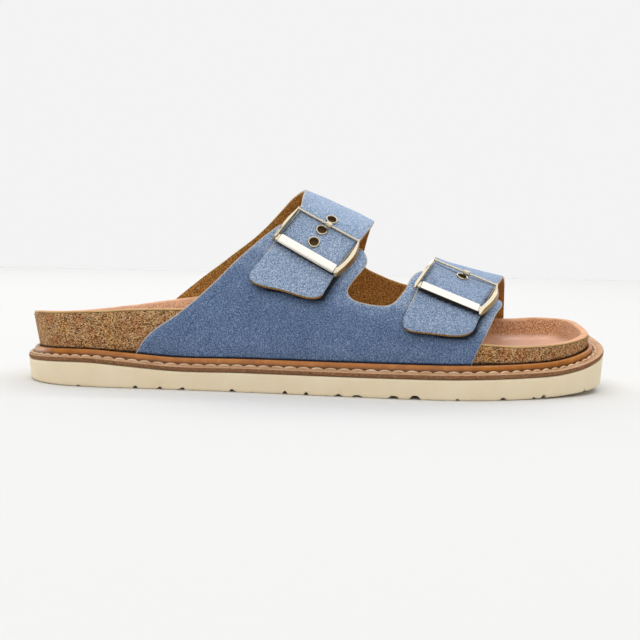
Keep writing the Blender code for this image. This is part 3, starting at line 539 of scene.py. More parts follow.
# foam sole with its tread
treadLook = {"steps": 420, "across": 52, "wallRows": 7, "pitch": 10.6, "groove": 2.6, "depth": 1.3,
    "firstLug": 14.0, "lastLug": 12.0, "reach": 17.0, "pastEdge": 4.0, "slope": 0.3, "fade": 1.5,
    "rag": 0.3, "ragReach": (2.6, 1.0), "ribPitch": 6.0, "ribDepth": 0.7, "ribSwing": 3.2,
    "swingPitch": 19.0, "ribFlank": (-0.1, 0.7)}
soleFoot = ((1.9, 0.0), (1.5, 0.06), (1.2, 0.25), (1.02, 0.6), (0.92, 1.15), (0.88, 1.9))    # inset, rise
soleLip = ((0.2, 0.6), (0.28, 0.22), (0.6, 0.0))    # inset, drop below the top


def lugLines():    # place, outward normal, width and depth of each tread notch
    outer, inner = fineEdge[fineEdge[:, 1] <= 0], fineEdge[fineEdge[:, 1] > 0]
    lines = []
    for x, wide, deep in zip(*soleForm["notches"].values()):
        lines.append([*outer[np.argmin(abs(outer[:, 0] - x))], wide, deep])
    half = soleForm["half"]
    for x in np.arange(treadLook["firstLug"] - half, half - treadLook["lastLug"], treadLook["pitch"]):
        lines.append([*inner[np.argmin(abs(inner[:, 0] - x))], treadLook["groove"], treadLook["depth"]])
    return np.array(lines)


lugs = lugLines()


def ragged(x, y):    # an uneven wave along the edge, the same on every run
    return np.sin(1.7 * x + 0.5 * y) * np.sin(0.61 * x + 1.3) + 0.4 * np.sin(4.3 * x - 1.1 * y)


def treadDepth(x, y):
    x, y = np.atleast_1d(x), np.atleast_1d(y)
    px, py, nx, ny, wide, deep = lugs.T
    dx, dy = x[:, None] - px, y[:, None] - py
    along = abs(dx * -ny + dy * nx)
    inward = -(dx * nx + dy * ny)
    reach, fade = treadLook["reach"], treadLook["fade"]
    cut = ease((wide / 2 - along) / (treadLook["slope"] * wide))
    cut = cut * (inward > -treadLook["pastEdge"]) * ease((reach - inward) / fade)
    coarse = fineEdge[::4]    # every fourth point is near enough
    away = np.hypot(coarse[:, 0] - x[:, None], coarse[:, 1] - y[:, None]).min(1)
    swing = treadLook["ribSwing"] * np.cos(2 * np.pi * y / treadLook["swingPitch"])
    wave = np.cos(2 * np.pi * (x + swing) / treadLook["ribPitch"])
    rib = treadLook["ribDepth"] * rampUp(wave, *treadLook["ribFlank"]) * rampUp(away, reach + fade, fade)
    ragReach, ragFade = treadLook["ragReach"]
    torn = treadLook["rag"] * np.maximum(ragged(x, y), 0.0) * ease((ragReach - away) / ragFade)
    return np.maximum(np.maximum((deep * cut).max(1), rib), torn)


def makeSole():
    edge = edgeRing(treadLook["steps"])
    rings = []
    for inset, up in soleFoot:
        rings.append(ringAt(edge, inset, lambda x, y, s: groundAt(x, y) + np.maximum(treadDepth(x, y), up)))
    (footIn, footUp), (lipIn, lipDrop) = soleFoot[-1], soleLip[0]
    for t in np.linspace(0.0, 1.0, treadLook["wallRows"])[1:]:
        rings.append(ringAt(edge, footIn + (lipIn - footIn) * t,
            lambda x, y, s: (groundAt(x, y) + footUp) * (1 - t) + (soleTop(x, y) - lipDrop) * t))
    rings += [levelRing(edge, inset, soleTop, drop) for inset, drop in soleLip[1:]]
    side = gridSkin("foamSole", rings)
    under = fillRing("tread", rings[0], treadLook["across"], lambda x, y: groundAt(x, y) + treadDepth(x, y))
    top = fillRing("soleTop", rings[-1], 2)
    return finishPiece(weld(side, under, top), [foam], "foam_sole", "outsole", angle=50.0)


makeSole()
print("sole made")

# welt: flange, stitches and bead
weltLook = {"steps": 300, "pitchMiddle": 5.6, "pitchEnds": 4.7, "endsFrom": (60.0, 40.0),
    "stitchShare": 0.93, "stitchThick": 1.15, "arch": 0.5, "archPower": 2.2, "sink": 0.25, "lean": 0.1,
    "blunt": 0.2, "fromBead": 1.15, "channel": 0.45, "beadRows": 15, "beadSquare": 0.75, "beadSink": 0.05,
    "edgeTurn": 0.6}
flangeFoot = ((0.5, 0.0), (0.12, 0.2), (0.0, 1.0))    # inset, rise above the lower face
flangeLip = ((0.1, 0.4), (0.4, 0.1), (0.85, 0.0))    # inset, drop below the upper face
stitchTrough = ((2.0, 0.0), (1.7, 0.6), (1.25, 1.0), (0.8, 0.6), (0.4, 0.0), (-1.0, 0.0))    # from the bead


def makeFlange():
    edge = edgeRing(weltLook["steps"])
    thick, inner = weltForm["thick"], weltForm["innerEdge"]
    outline = [(inner, thick)] + [(inset, thick - up) for inset, up in flangeFoot] + list(flangeLip)
    rings = [levelRing(edge, inset, flangeTop, drop) for inset, drop in outline]
    for back, deep in stitchTrough:
        rings.append(levelRing(edge, lambda x, s: beadInset(x) - back, flangeTop,
            deep * weltLook["channel"]))
    rings.append(levelRing(edge, inner, flangeTop, 0.0))
    flange = weld(gridSkin("weltFlange", rings, wrapRows=True))
    paintFaces(flange, lambda spots, normal: normal[:, 2] < weltLook["edgeTurn"])
    return finishPiece(flange, [flangeLeather, flangeEdge], "welt_leather", "welt")


def storeBeadHeight(piece):
    spots = vertexSpots(piece)
    storeValue(piece, "aboveBead", spots[:, 2] - flangeTop(spots[:, 0], spots[:, 1]) - weltForm["beadHigh"])


def makeBead():
    edge = edgeRing(weltLook["steps"])
    wide, high, square = weltForm["beadWide"], weltForm["beadHigh"], weltLook["beadSquare"]
    rings = []
    for a in np.linspace(0.0, np.pi, weltLook["beadRows"]):
        part = 0.5 - 0.5 * np.sign(np.cos(a)) * abs(np.cos(a)) ** square
        up = high * np.sin(a) ** square - weltLook["beadSink"]
        rings.append(levelRing(edge, lambda x, s: beadInset(x) + wide * part, flangeTop, -up))
    bead = weld(gridSkin("weltBead", rings, wrapRows=True))
    storeBeadHeight(bead)
    return finishPiece(bead, [beadLeather], "welt_leather", "welt")


def stitchSpots():    # ends and middles of the stitches, closer together round heel and toe
    line = levelRing(fineEdge, lambda x, s: beadInset(x) - weltLook["fromBead"], flangeTop, 0.0)
    line = np.vstack([line, line[:1]])
    ends = rampUp(abs(line[:, 0]), *weltLook["endsFrom"])
    pitch = weltLook["pitchMiddle"] + (weltLook["pitchEnds"] - weltLook["pitchMiddle"]) * ends
    steps = np.r_[0.0, np.cumsum(np.linalg.norm(np.diff(line, axis=0), axis=1) / pitch[1:])]
    at = np.linspace(0.0, steps[-1], 2 * int(steps[-1]) + 1)
    return np.stack([np.interp(at, steps, line[:, k]) for k in range(3)], 1)


def makeStitches():    # long flat arches of thread, each a ball drawn out along the welt
    spots = stitchSpots()
    bpy.ops.mesh.primitive_uv_sphere_add(segments=8, ring_count=7, radius=1.0,
        rotation=(0.0, math.pi / 2, 0.0))
    model = bpy.context.object
    bpy.ops.object.transform_apply(rotation=True)
    ball = np.array([v.co for v in model.data.vertices])
    girth = np.clip(1 - ball[:, 0] ** 2, 1e-4, 1.0) ** -weltLook["blunt"] * weltLook["stitchThick"] / 2
    arch = weltLook["arch"] * (1 - abs(ball[:, 0]) ** weltLook["archPower"]) - weltLook["sink"]
    copies = []
    for before, centre, after in zip(spots[:-1:2], spots[1::2], spots[2::2]):
        along = Vector(after - before).normalized()
        side = Vector((0.0, 0.0, 1.0)).cross(along).normalized()
        turn = np.array(Matrix((along + side * weltLook["lean"], side, along.cross(side))).transposed())
        half = 0.5 * weltLook["stitchShare"] * np.linalg.norm(after - before)
        shape = np.stack([ball[:, 0] * half, ball[:, 1] * girth, ball[:, 2] * girth + arch], 1)
        copy = model.copy()
        copy.data = model.data.copy()
        bpy.context.scene.collection.objects.link(copy)
        copy.data.vertices.foreach_set("co", ((shape @ turn.T + centre - middle) * mm).ravel())
        copies.append(copy)
    bpy.data.objects.remove(model)
    selectOnly(*copies)
    bpy.ops.object.join()
    stitches = bpy.context.object
    stitches.name = stitches.data.name = "weltStitches"
    return finishPiece(stitches, [thread], "welt_leather", angle=80.0)


makeFlange()
makeBead()
makeStitches()
print("welt made")

# cork body and leather insole
footLook = {"steps": 220, "across": 46, "hiddenAcross": 24, "wallRows": 12, "skinGap": 0.1, "seatGap": 0.4,
    "wallFrom": (0.03, 0.25), "lipFrom": (0.9, 0.08), "edgeTurn": 0.35, "heelWear": 0.1,
    "wearTo": (20.0, 50.0)}
corkLip = ((0.0, 0.5), (0.12, 0.15), (0.5, 0.0))    # inset, drop below the insole
insoleLip = ((0.5, 0.8), (0.3, 0.74), (0.22, 0.5), (0.3, 0.22), (0.55, 0.05), (1.0, 0.0))    # inset, drop


def rimRing(edge, inset, drop):    # a ring along the footbed's rim
    return ringAt(edge, lambda x, s: rimInset(x, s) + inset, lambda x, y, s: rimHeight(x, y, s) - drop)


def makeCork():
    edge = edgeRing(footLook["steps"])
    skin, gap = footForm["skin"] + footLook["skinGap"], weltForm["gap"]
    seat = weltForm["innerEdge"] + footLook["seatGap"]
    rings = [levelRing(edge, seat, top, -gap) for top in (soleTop, flangeTop)]
    for t in np.linspace(0.0, 1.0, footLook["wallRows"]):
        rings.append(ringAt(edge, lambda x, s: corkInset(x, s) * (1 - t) + rimInset(x, s) * t,
            lambda x, y, s: (flangeTop(x, y) + gap) * (1 - t)
            + (rimHeight(x, y, s) - skin - corkLip[0][1]) * t))
    rings += [rimRing(edge, inset, skin + drop) for inset, drop in corkLip[1:]]
    side = gridSkin("corkBody", rings)
    base = fillRing("corkBase", rings[0], 2)
    face = fillRing("corkFace", rings[-1], footLook["hiddenAcross"],
        lambda x, y: footHeight(x, y)[0] - skin)
    body = weld(side, base, face)
    storeBeadHeight(body)
    return finishPiece(body, [cork], "cork", "footbed")


def makeInsole():
    edge = edgeRing(footLook["steps"])
    rings = [rimRing(edge, inset, drop) for inset, drop in insoleLip]
    rings[-1][:, 2] = footHeight(rings[-1][:, 0], rings[-1][:, 1])[0]
    side = gridSkin("insoleLeather", rings)
    face = fillRing("insoleFace", rings[-1], footLook["across"], lambda x, y: footHeight(x, y)[0])
    back = fillRing("insoleBack", rings[0], footLook["hiddenAcross"],
        lambda x, y: footHeight(x, y)[0] - footForm["skin"])
    insole = weld(side, face, back)
    spots = vertexSpots(insole)
    rise = footHeight(spots[:, 0], spots[:, 1])[1]
    worn = 1 - footLook["heelWear"] * (1 - rampUp(spots[:, 0], *footLook["wearTo"]))    # smooth at the heel
    storeValue(insole, "wallShare", worn * rampUp(rise, *footLook["wallFrom"]))
    storeValue(insole, "lipShare", rampUp(rise, *footLook["lipFrom"]))
    paintFaces(insole, lambda spots, normal: normal[:, 2] < footLook["edgeTurn"])
    return finishPiece(insole, [insoleFace, insoleEdge], "insole_leather", "insole")


makeCork()
makeInsole()
print("footbed made")

# suede upper, cut as two pattern pieces and laid on the last
girthScale = 90.0    # pattern mm from the ridge to the feather line
# the rim's step and the clearances round rim and holes are shares of a pattern's spacing
patternForm = {"splineSteps": 14, "rimStep": 0.7, "rimClear": 0.6, "holeClear": 0.4, "punchSides": 24}
quarterForm = {"spacing": 1.7, "thick": 1.3, "footThick": 2.0, "footFrom": (0.84, 0.12), "round": 0.45,
    "tipRound": 0.0, "outline": columns("x girth", (-76.6, -1.0), (-75.3, -0.955), (-70.3, -0.884),
    (-57.5, -0.787), (-45, -0.675), (-32.5, -0.537), (-20.5, -0.4), (-15, -0.345), (-11, -0.335),
    (2, -0.36), (15, -0.385), (19, -0.4), (21, -0.45), (20, -0.494), (15, -0.581), (13, -0.63),
    (15, -0.663), (24.5, -0.682), (31, -0.668), (36.5, -0.581), (39.5, -0.494), (44, -0.42), (48, -0.41),
    (60, -0.455), (73, -0.51), (78, -0.53), (78.5, -0.57), (75.5, -0.644), (71.8, -0.75), (67.2, -0.875),
    (64.8, -0.955), (63.6, -1.0), (30, -1.0), (-6, -1.0), (-40, -1.0))}
strapForm = {"spacing": 1.25, "thick": 2.0, "round": 0.45, "tipRound": 0.2, "tipLift": 0.8,
    "climb": (0.06, 0.22), "rearTip": (0.585, 0.07), "frontTip": (0.70, 0.07), "parting": (22.0, 8.0),
    "tipBoxes": ((-90.0, 8.0, 58.0), (33.0, 68.0, 37.0)), "tipSide": -20.0,
    "outline": columns("x girth", (-82, 1.0), (-77, 0.88), (-68, 0.778), (-56, 0.672), (-42, 0.553),
    (-27.5, 0.403), (-13.8, 0.186), (-7.2, 0.02), (-7.5, -0.144), (-9, -0.269), (-15, -0.394),
    (-22, -0.515), (-28, -0.612), (-27, -0.642), (-13, -0.667), (-2, -0.686), (2, -0.675), (4, -0.637),
    (9.5, -0.519), (16, -0.395), (22, -0.231), (24.5, -0.05), (24.2, 0.15), (22.5, 0.34), (21.5, 0.425),
    (23, 0.468), (31.5, 0.504), (38, 0.522), (45, 0.533), (51, 0.515), (54.5, 0.43), (55.2, 0.25),
    (53.2, 0.05), (50.5, -0.25), (46, -0.42), (40.5, -0.606), (36, -0.755), (37.5, -0.79), (48, -0.802),
    (59, -0.806), (63, -0.79), (67, -0.7), (75, -0.463), (80.5, -0.28), (84, -0.05), (88, 0.2),
    (91.5, 0.525), (92.5, 0.713), (92, 0.9), (91, 1.0), (60, 1.0), (25, 1.0), (-15, 1.0), (-55, 1.0))}
eyeletForm = {"rear_eyelet_1": (5.1, -0.279), "rear_eyelet_2": (1.3, -0.353),
    "rear_eyelet_3": (-1.7, -0.422), "front_eyelet_1": (61.3, -0.400)}
buckleForm = {"bar": 0.95, "plateWide": 4.4, "plateThick": 1.5, "barLift": 2.25, "plateLift": 1.7,
    "sideHigh": 2.6, "bow": 1.0, "sideOut": {-1: -0.2, 1: 1.8}, "sideWide": {-1: 2.0, 1: 2.8},
    "rodRows": 9, "core": (0.75, 0.6, 0.2), "corner": 0.22, "groove": (1.5, 1.75),
    "sleeve": 1.15, "sleeveLong": 2.8, "prong": 0.45, "prongAim": 0.8, "prongShare": 0.58,
    "shadeReach": 1.3, "shadeHalf": {"bar": 0.5, "plate": 1.9, "side": 1.0},
    "rear": {"bar": ((-9.3, -0.282), (16.5, -0.392)), "plate": ((-17.5, -0.432), (8.8, -0.554)),
    "hub": 0.504, "pinned": "rear_eyelet_2", "shadeLift": 1.4},
    "front": {"bar": ((47.9, -0.357), (75.1, -0.471)), "plate": ((41.1, -0.56), (67.5, -0.671)),
    "hub": 0.518, "pinned": "front_eyelet_1", "shadeLift": 3.6}}
rimRows = ((0.3, 0.9), (0.05, 0.72), (0.0, 0.4), (0.25, 0.08))    # shares of the rounding and the thickness
suedeFace, liningFace, paleRim, tanRim, backRim, topRim = range(6)    # the first four are material slots


def lastGrid():    # inside of the upper on an even grid of x and girth
    feather = ringAt(fineEdge, lambda x, s: featherInset(x), lambda x, y, s: 0.0 * x)
    sides = {-1: feather[:toeIndex + 1], 1: np.vstack([feather[toeIndex:], feather[:1]])[::-1]}
    arc = np.linspace(0.0, np.pi / 2, lastForm["arcSteps"])
    stations = np.arange(*lastForm["stations"], 1.0)
    girths = np.linspace(-1.0, 1.0, lastForm["girthSteps"])
    points = np.zeros((len(stations), len(girths), 3))
    for i, x in enumerate(stations):
        ridgeZ = valueAt(lastForm["rows"], "ridgeZ", x)
        ridgeY = valueAt(lastForm["rows"], "ridgeY", x)
        for sign, fullness in ((-1, lastForm["outerFullness"]), (1, lastForm["innerFullness"])):
            footY = np.interp(x, sides[sign][:, 0], sides[sign][:, 1])
            baseZ = rimHeight(x, footY, float(sign > 0)) - lastForm["seat"]
            footZ = flangeTop(x, footY) + weltForm["gap"]
            y = np.r_[ridgeY + (footY - ridgeY) * np.sin(arc) ** (2 / fullness), footY]
            z = np.r_[baseZ + (ridgeZ - baseZ) * np.cos(arc) ** (2 / fullness), footZ]
            run = np.r_[0.0, np.cumsum(np.hypot(np.diff(y), np.diff(z)))]
            pick = girths * sign >= 0
            at = run[-1] * abs(girths[pick])
            points[i, pick] = np.stack([0 * at + x, np.interp(at, run, y), np.interp(at, run, z)], 1)
    normals = np.cross(np.gradient(points, axis=0), np.gradient(points, axis=1))
    normals /= np.linalg.norm(normals, axis=2)[:, :, None]
    return stations, girths, points, normals


lastX, lastGirth, lastPoints, lastNormals = lastGrid()


def onLast(x, girth, above=0.0):
    x, girth = np.atleast_1d(x), np.atleast_1d(girth)
    i = np.clip(x - lastX[0], 0, len(lastX) - 1.001)
    j = np.clip((girth - lastGirth[0]) / (lastGirth[1] - lastGirth[0]), 0, len(lastGirth) - 1.001)
    a, b = i.astype(int), j.astype(int)
    u, v = (i - a)[:, None], (j - b)[:, None]
    both = []
    for grid in (lastPoints, lastNormals):
        both.append(grid[a, b] * (1 - u) * (1 - v) + grid[a + 1, b] * u * (1 - v)
            + grid[a, b + 1] * (1 - u) * v + grid[a + 1, b + 1] * u * v)
    normal = both[1] / np.linalg.norm(both[1], axis=1)[:, None]
    return both[0] + normal * np.reshape(above, (-1, 1)), normal


def tipShare(x, girth):    # one at the loose ends of the two straps
    parting, blend = strapForm["parting"]
    rear = rampUp(-girth, *strapForm["rearTip"]) * ease((parting - x) / blend)
    front = rampUp(-girth, *strapForm["frontTip"]) * ease((x - parting) / blend)
    return rear + front


def strapClimb(girth):    # straps climb on to the outer tabs
    return (lastForm["wall"] - lastForm["lap"]) * rampUp(-girth, *strapForm["climb"])


def strapRise(x, girth):    # and their tips stand off a little
    return strapClimb(girth) + strapForm["tipLift"] * tipShare(x, girth)


def quarterThick(girth):
    more = quarterForm["footThick"] - quarterForm["thick"]
    return quarterForm["thick"] + more * rampUp(-girth, *quarterForm["footFrom"])


def suedeWave(x, girth):    # soft unevenness of hand-cut suede
    s = girth * girthScale
    return (0.10 * np.sin(0.23 * x + 0.9) * np.sin(0.19 * s + 0.4) + 0.07 * np.sin(0.41 * x - 0.33 * s)
        + 0.05 * np.sin(0.62 * s + 0.17 * x + 2.0))


def lineGap(points, p, q):    # distance of each point from the stretch p to q
    share = np.clip(((points - p) @ (q - p)) / max((q - p) @ (q - p), 1e-9), 0, 1)
    return np.linalg.norm(points - p - share[:, None] * (q - p), axis=1)


def insideLoop(points, loop):
    hit = np.zeros(len(points), bool)
    gap = np.full(len(points), 1e9)
    for p, q in zip(loop, np.roll(loop, -1, 0)):
        crosses = (p[1] > points[:, 1]) != (q[1] > points[:, 1])
        rise = q[1] - p[1] if q[1] != p[1] else 1e-9
        hit ^= crosses & (points[:, 0] < p[0] + (points[:, 1] - p[1]) * (q[0] - p[0]) / rise)
        gap = np.minimum(gap, lineGap(points, p, q))
    return hit, gap


def patternLoop(rows, spacing):
    loop = closedSpline(np.stack([rows["x"], rows["girth"] * girthScale], 1), patternForm["splineSteps"])
    loop[:, 1] = np.clip(loop[:, 1], -girthScale, girthScale)
    loop = np.vstack([loop, loop[:1]])
    length = np.linalg.norm(np.diff(loop, axis=0), axis=1).sum()
    loop = evenPoints(loop, int(length / (patternForm["rimStep"] * spacing)))[:-1]
    area = np.sum(loop[:, 0] * np.roll(loop[:, 1], -1) - loop[:, 1] * np.roll(loop[:, 0], -1))
    return loop if area > 0 else loop[::-1]


def insetLoop(loop, inset):
    along = np.roll(loop, -1, 0) - np.roll(loop, 1, 0)
    along /= np.linalg.norm(along, axis=1)[:, None]
    return loop + np.stack([-along[:, 1], along[:, 0]], 1) * np.reshape(inset, (-1, 1))


def patternSheet(border, spacing, holes):    # triangles inside the border, without the punched holes
    low, high = border.min(0), border.max(0)
    rise = spacing * math.sqrt(0.75)
    grid = np.array([(x + (j % 2) * spacing / 2, low[1] + j * rise)
        for j in range(int((high[1] - low[1]) / rise) + 1) for x in np.arange(low[0], high[0], spacing)])
    hit, gap = insideLoop(grid, border)
    grid = grid[hit & (gap > patternForm["rimClear"] * spacing)]
    for hole in holes:
        hit, gap = insideLoop(grid, hole)
        grid = grid[~hit & (gap > patternForm["holeClear"] * spacing)]
    starts = np.cumsum([0, len(border)] + [len(hole) for hole in holes])
    rounds = [range(a, b) for a, b in zip(starts, starts[1:])]    # points of the border and of each hole
    edges = [(ring[k], ring[(k + 1) % len(ring)]) for ring in rounds[1:] for k in range(len(ring))]
    points = [Vector(p) for p in np.vstack([border, *holes, grid])]
    found = delaunay_2d_cdt(points, edges, [list(rounds[0])], 1, 1e-5)
    verts = np.array([tuple(p) for p in found[0]])
    home = {origin: k for k, origins in enumerate(found[3]) for origin in origins}
    faces = np.array([f for f in found[2]])
    for hole in holes:
        faces = faces[~insideLoop(verts[faces].mean(1), hole)[0]]
    a, b, c = (verts[faces[:, k]] for k in range(3))
    turned = ((b - a)[:, 0] * (c - a)[:, 1] - (b - a)[:, 1] * (c - a)[:, 0]) < 0
    faces[turned] = faces[turned][:, ::-1]
    return verts, faces, [[home[k] for k in ring] for ring in rounds]


def punchLoop(x, girth, radius):    # a round hole drawn on the pattern
    step = 0.01
    reach = np.linalg.norm(onLast(x, girth + step)[0] - onLast(x, girth)[0]) / (step * girthScale)
    turns = np.linspace(0, 2 * np.pi, patternForm["punchSides"], endpoint=False)
    return np.stack([x + radius * np.cos(turns), girth * girthScale + radius / reach * np.sin(turns)], 1)


def tipLine(spots):    # the ends of the straps, on the outer side below their plates
    ends = np.zeros(len(spots), bool)
    for back, front, high in strapForm["tipBoxes"]:
        ends |= (spots[:, 0] > back) & (spots[:, 0] < front) & (spots[:, 2] < high)
    return ends & (spots[:, 1] < strapForm["tipSide"])


def rimKind(step, down):    # step counts the rows of a cut edge from its face
    if step >= len(rimRows) - 1:
        return backRim
    if down:
        return tanRim
    return topRim if step < 2 else paleRim


def paintSuede(piece, form, kinds):    # cut edges are tan at the straps' ends, brown inside, and else pale
    spots = faceSpots(piece)
    inside = (kinds >= paleRim) & (spots[:, 1] > suedeLook["liningFrom"])
    tips = tipLine(spots) & (form is strapForm)
    kinds[(kinds == backRim) | inside] = liningFace
    kinds[((kinds == tanRim) | (kinds == topRim)) & ~tips] = paleRim
    kinds[kinds == topRim] = suedeFace
    piece.data.polygons.foreach_set("material_index", kinds)


def buckleShade(flats, spec):    # painted shadow: zero in the shadow of the buckle's frame on the strap
    ends = [[np.array((x, g * girthScale)) for x, g in spec[name]] for name in ("bar", "plate")]
    (barA, barB), (plateA, plateB) = ends
    lift = np.array((0.0, spec["shadeLift"]))    # painted shadow: the bar hides the strap a little above it, so its shadow line is moved up
    half = buckleForm["shadeHalf"]
    shade = np.ones(len(flats))
    for p, q, name in ((barA + lift, barB + lift, "bar"), (plateA, plateB, "plate"), (barA, plateA, "side"),
            (barB, plateB, "side")):
        gap = lineGap(flats, p, q) - half[name]
        shade = np.minimum(shade, np.clip(gap / buckleForm["shadeReach"], 0, 1))
    return shade


def storeShades(piece, form, flats):    # how much painted highlight the suede gets where it faces up, and its painted shadow by how far it lies from what shades it
    if form is quarterForm:    # the straps' painted shadow falls down and forwards
        turn = np.array([v.normal.z for v in piece.data.vertices])
        upward = suedeLook["quarterLit"] * rampUp(turn, *suedeLook["litTurn"])
        strap = patternLoop(strapForm["outline"], strapForm["spacing"])
        over, gap = insideLoop(flats + suedeLook["shadowFrom"], strap)
        apart = np.clip(np.where(over, 0.0, gap) / suedeLook["shadowReach"], 0.0, 1.0)
    else:
        # the straps get an even painted highlight, weaker towards the front
        dimmer = rampUp(flats[:, 0], *suedeLook["dimmerFrom"])
        upward = suedeLook["strapLit"] - suedeLook["frontDimmer"] * dimmer
        apart = np.minimum(buckleShade(flats, buckleForm["rear"]), buckleShade(flats, buckleForm["front"]))
    storeValue(piece, "upward", upward)
    storeValue(piece, "fromStrap", apart)


def layPattern(name, form, rise, thick, holes):
    loop = patternLoop(form["outline"], form["spacing"])
    skive = form["round"] + form["tipRound"] * tipShare(loop[:, 0], loop[:, 1] / girthScale)
    verts, faces, loops = patternSheet(insetLoop(loop, skive), form["spacing"], holes)

    def lay(flat, share):
        x, girth = flat[:, 0], np.clip(flat[:, 1] / girthScale, -1, 1)
        above = rise(x, girth) + thick(girth) * share + suedeWave(x, girth) * min(share * 2, 1)
        return onLast(x, girth, above)[0]

    points, flats = [lay(verts, 1.0), lay(verts, 0.0)], [verts, verts]
    count = len(verts)
    allFaces = [tuple(f) for f in faces] + [tuple(f[::-1] + count) for f in faces]
    kinds = [suedeFace] * len(faces) + [liningFace] * len(faces)
    start = 2 * count
    rows = [loops[0]]
    for inset, share in rimRows:
        flats.append(insetLoop(loop, skive * inset))
        points.append(lay(flats[-1], share))
        rows.append(list(range(start, start + len(loop))))
        start += len(loop)
    rows.append([k + count for k in loops[0]])
    down = (np.roll(loop, -1, 0) - loop)[:, 0] > suedeLook["downTurn"] * form["spacing"]
    for step, (upper, lower) in enumerate(zip(rows, rows[1:])):
        for k in range(len(loop)):
            n = (k + 1) % len(loop)
            allFaces.append((upper[k], lower[k], lower[n], upper[n]))
            kinds.append(rimKind(step, down[k]))
    for hole in loops[1:]:
        for k in range(len(hole)):
            n = (k + 1) % len(hole)
            allFaces.append((hole[n], hole[n] + count, hole[k] + count, hole[k]))
            kinds.append(liningFace)
    piece = meshPiece(name, np.vstack(points), allFaces)
    paintSuede(piece, form, np.array(kinds))
    storeBeadHeight(piece)
    storeShades(piece, form, np.vstack(flats))
    return finishPiece(piece, [blueSuede, brownLining, paleEdge, tanEdge], "suede", "upper", angle=60.0)


# cup, crown and barrel are rows of radius and height
eyeletLook = {"punch": 1.95, "sides": 40, "crownRows": 12, "crownAt": (2.26, 0.2),
    "crownRound": (0.4, 0.45), "crownEnd": -0.3, "shadeFrom": -0.3,
    "cup": [(0.0, -1.15), (1.8, -1.15), (1.84, -0.2)],
    "barrel": [(2.6, -0.05), (1.9, -0.05), (1.85, -1.5), (0.0, -1.5)]}


def makeUpper():
    layPattern("outerQuarter", quarterForm, lambda x, g: 0.0, quarterThick, [])
    holes = [punchLoop(x, girth, eyeletLook["punch"]) for x, girth in eyeletForm.values()]
    layPattern("innerStraps", strapForm, strapRise, lambda g: strapForm["thick"], holes)


makeUpper()
print("upper made")


# buckles, pins and eyelets
def onStrap(x, girth, above=0.0):
    point, normal = onLast(x, girth, float(strapClimb(girth)) + lastForm["wall"] + above)
    return point[0], normal[0]


def unit(vector):
    return vector / np.linalg.norm(vector)


def sweep(name, path, wideAxis, highAxis, sections):    # a bar of changing section, closed at both ends
    rings = np.array([[place + wide * a + highAxis * b for a, b in section]
        for place, wide, section in zip(path, wideAxis, sections)])
    first = np.repeat(rings[:1].mean(1, keepdims=True), rings.shape[1], 1)
    last = np.repeat(rings[-1:].mean(1, keepdims=True), rings.shape[1], 1)
    return weld(gridSkin(name, np.concatenate([first, rings, last])))


def roundedSection(width, height, corner):
    r = min(corner, width / 2, height / 2)
    sides = 24
    turns = np.linspace(0, 2 * np.pi, sides, endpoint=False) + np.pi / sides
    return [(math.copysign(width / 2 - r, math.cos(a)) + r * math.cos(a),
        math.copysign(height / 2 - r, math.sin(a)) + r * math.sin(a)) for a in turns]


bladeForm = {"reach": (-0.05, 1.16), "rows": 29, "tip": 0.2, "tipShare": 0.25, "swell": 1.5, "widen": 0.45,
    "hub": 0.7, "hubFrom": (0.6, 0.2), "section": ((-1.0, -1.0), (0.75, -1.0), (1.0, -0.5), (0.32, 0.93),
    (0.2, 1.0), (0.05, 0.97), (-1.0, 0.5))}    # a ridge with one broad facet, turned up towards the light
# plateReach bounds the pale plate; awayTurn and lowTurn pick the faces in painted shade
toneForm = {"plateReach": 0.62, "awayFrom": 8.0, "awayTurn": 0.55, "lowTurn": 0.8}


def bladeSection(width, height, sign):
    points = bladeForm["section"] if sign > 0 else bladeForm["section"][::-1]
    return [(a * sign * width / 2, b * height / 2) for a, b in points]


def unite(first, *others):
    for other in others:
        step = first.modifiers.new("join", "BOOLEAN")
        step.operation, step.solver, step.object = "UNION", "EXACT", other
        selectOnly(first)
        bpy.ops.object.modifier_apply(modifier=step.name)
        bpy.data.objects.remove(other)
    return first


def buckleSide(name, a, b, sign, run, out):    # a bowed blade from the bar's end to past the plate's end
    bar, sideOut, sideWide = buckleForm["bar"], buckleForm["sideOut"][sign], buckleForm["sideWide"][sign]
    reach = np.linspace(*bladeForm["reach"], bladeForm["rows"])
    inside = np.clip(reach, 0, 1)
    path = [a + (b - a) * t + (out * buckleForm["bow"] + run * sign * sideOut) * k
        for t, k in zip(reach, np.sin(np.pi * inside))]
    tip, least = bladeForm["tip"], bladeForm["tipShare"]
    taper = least + (1 - least) * ease((1 + tip - reach) / tip)
    swell = bar + (buckleForm["sideHigh"] - bar) * np.sin(np.pi * inside ** bladeForm["swell"])
    hub = (buckleForm["plateThick"] + bladeForm["hub"]) * rampUp(reach, *bladeForm["hubFrom"])
    heights = np.maximum(swell, hub) * taper
    widths = (bar + (sideWide - bar) * ease(inside / bladeForm["widen"])) * taper
    wides = []
    for k in range(len(reach)):
        ahead = path[min(k + 1, len(reach) - 1)] - path[max(k - 1, 0)]
        wide = np.cross(out, ahead)
        wides.append(unit(wide) * np.sign(wide @ run) * sign)
    return sweep(name, path, wides, out, [bladeSection(w, h, sign) for w, h in zip(widths, heights)])


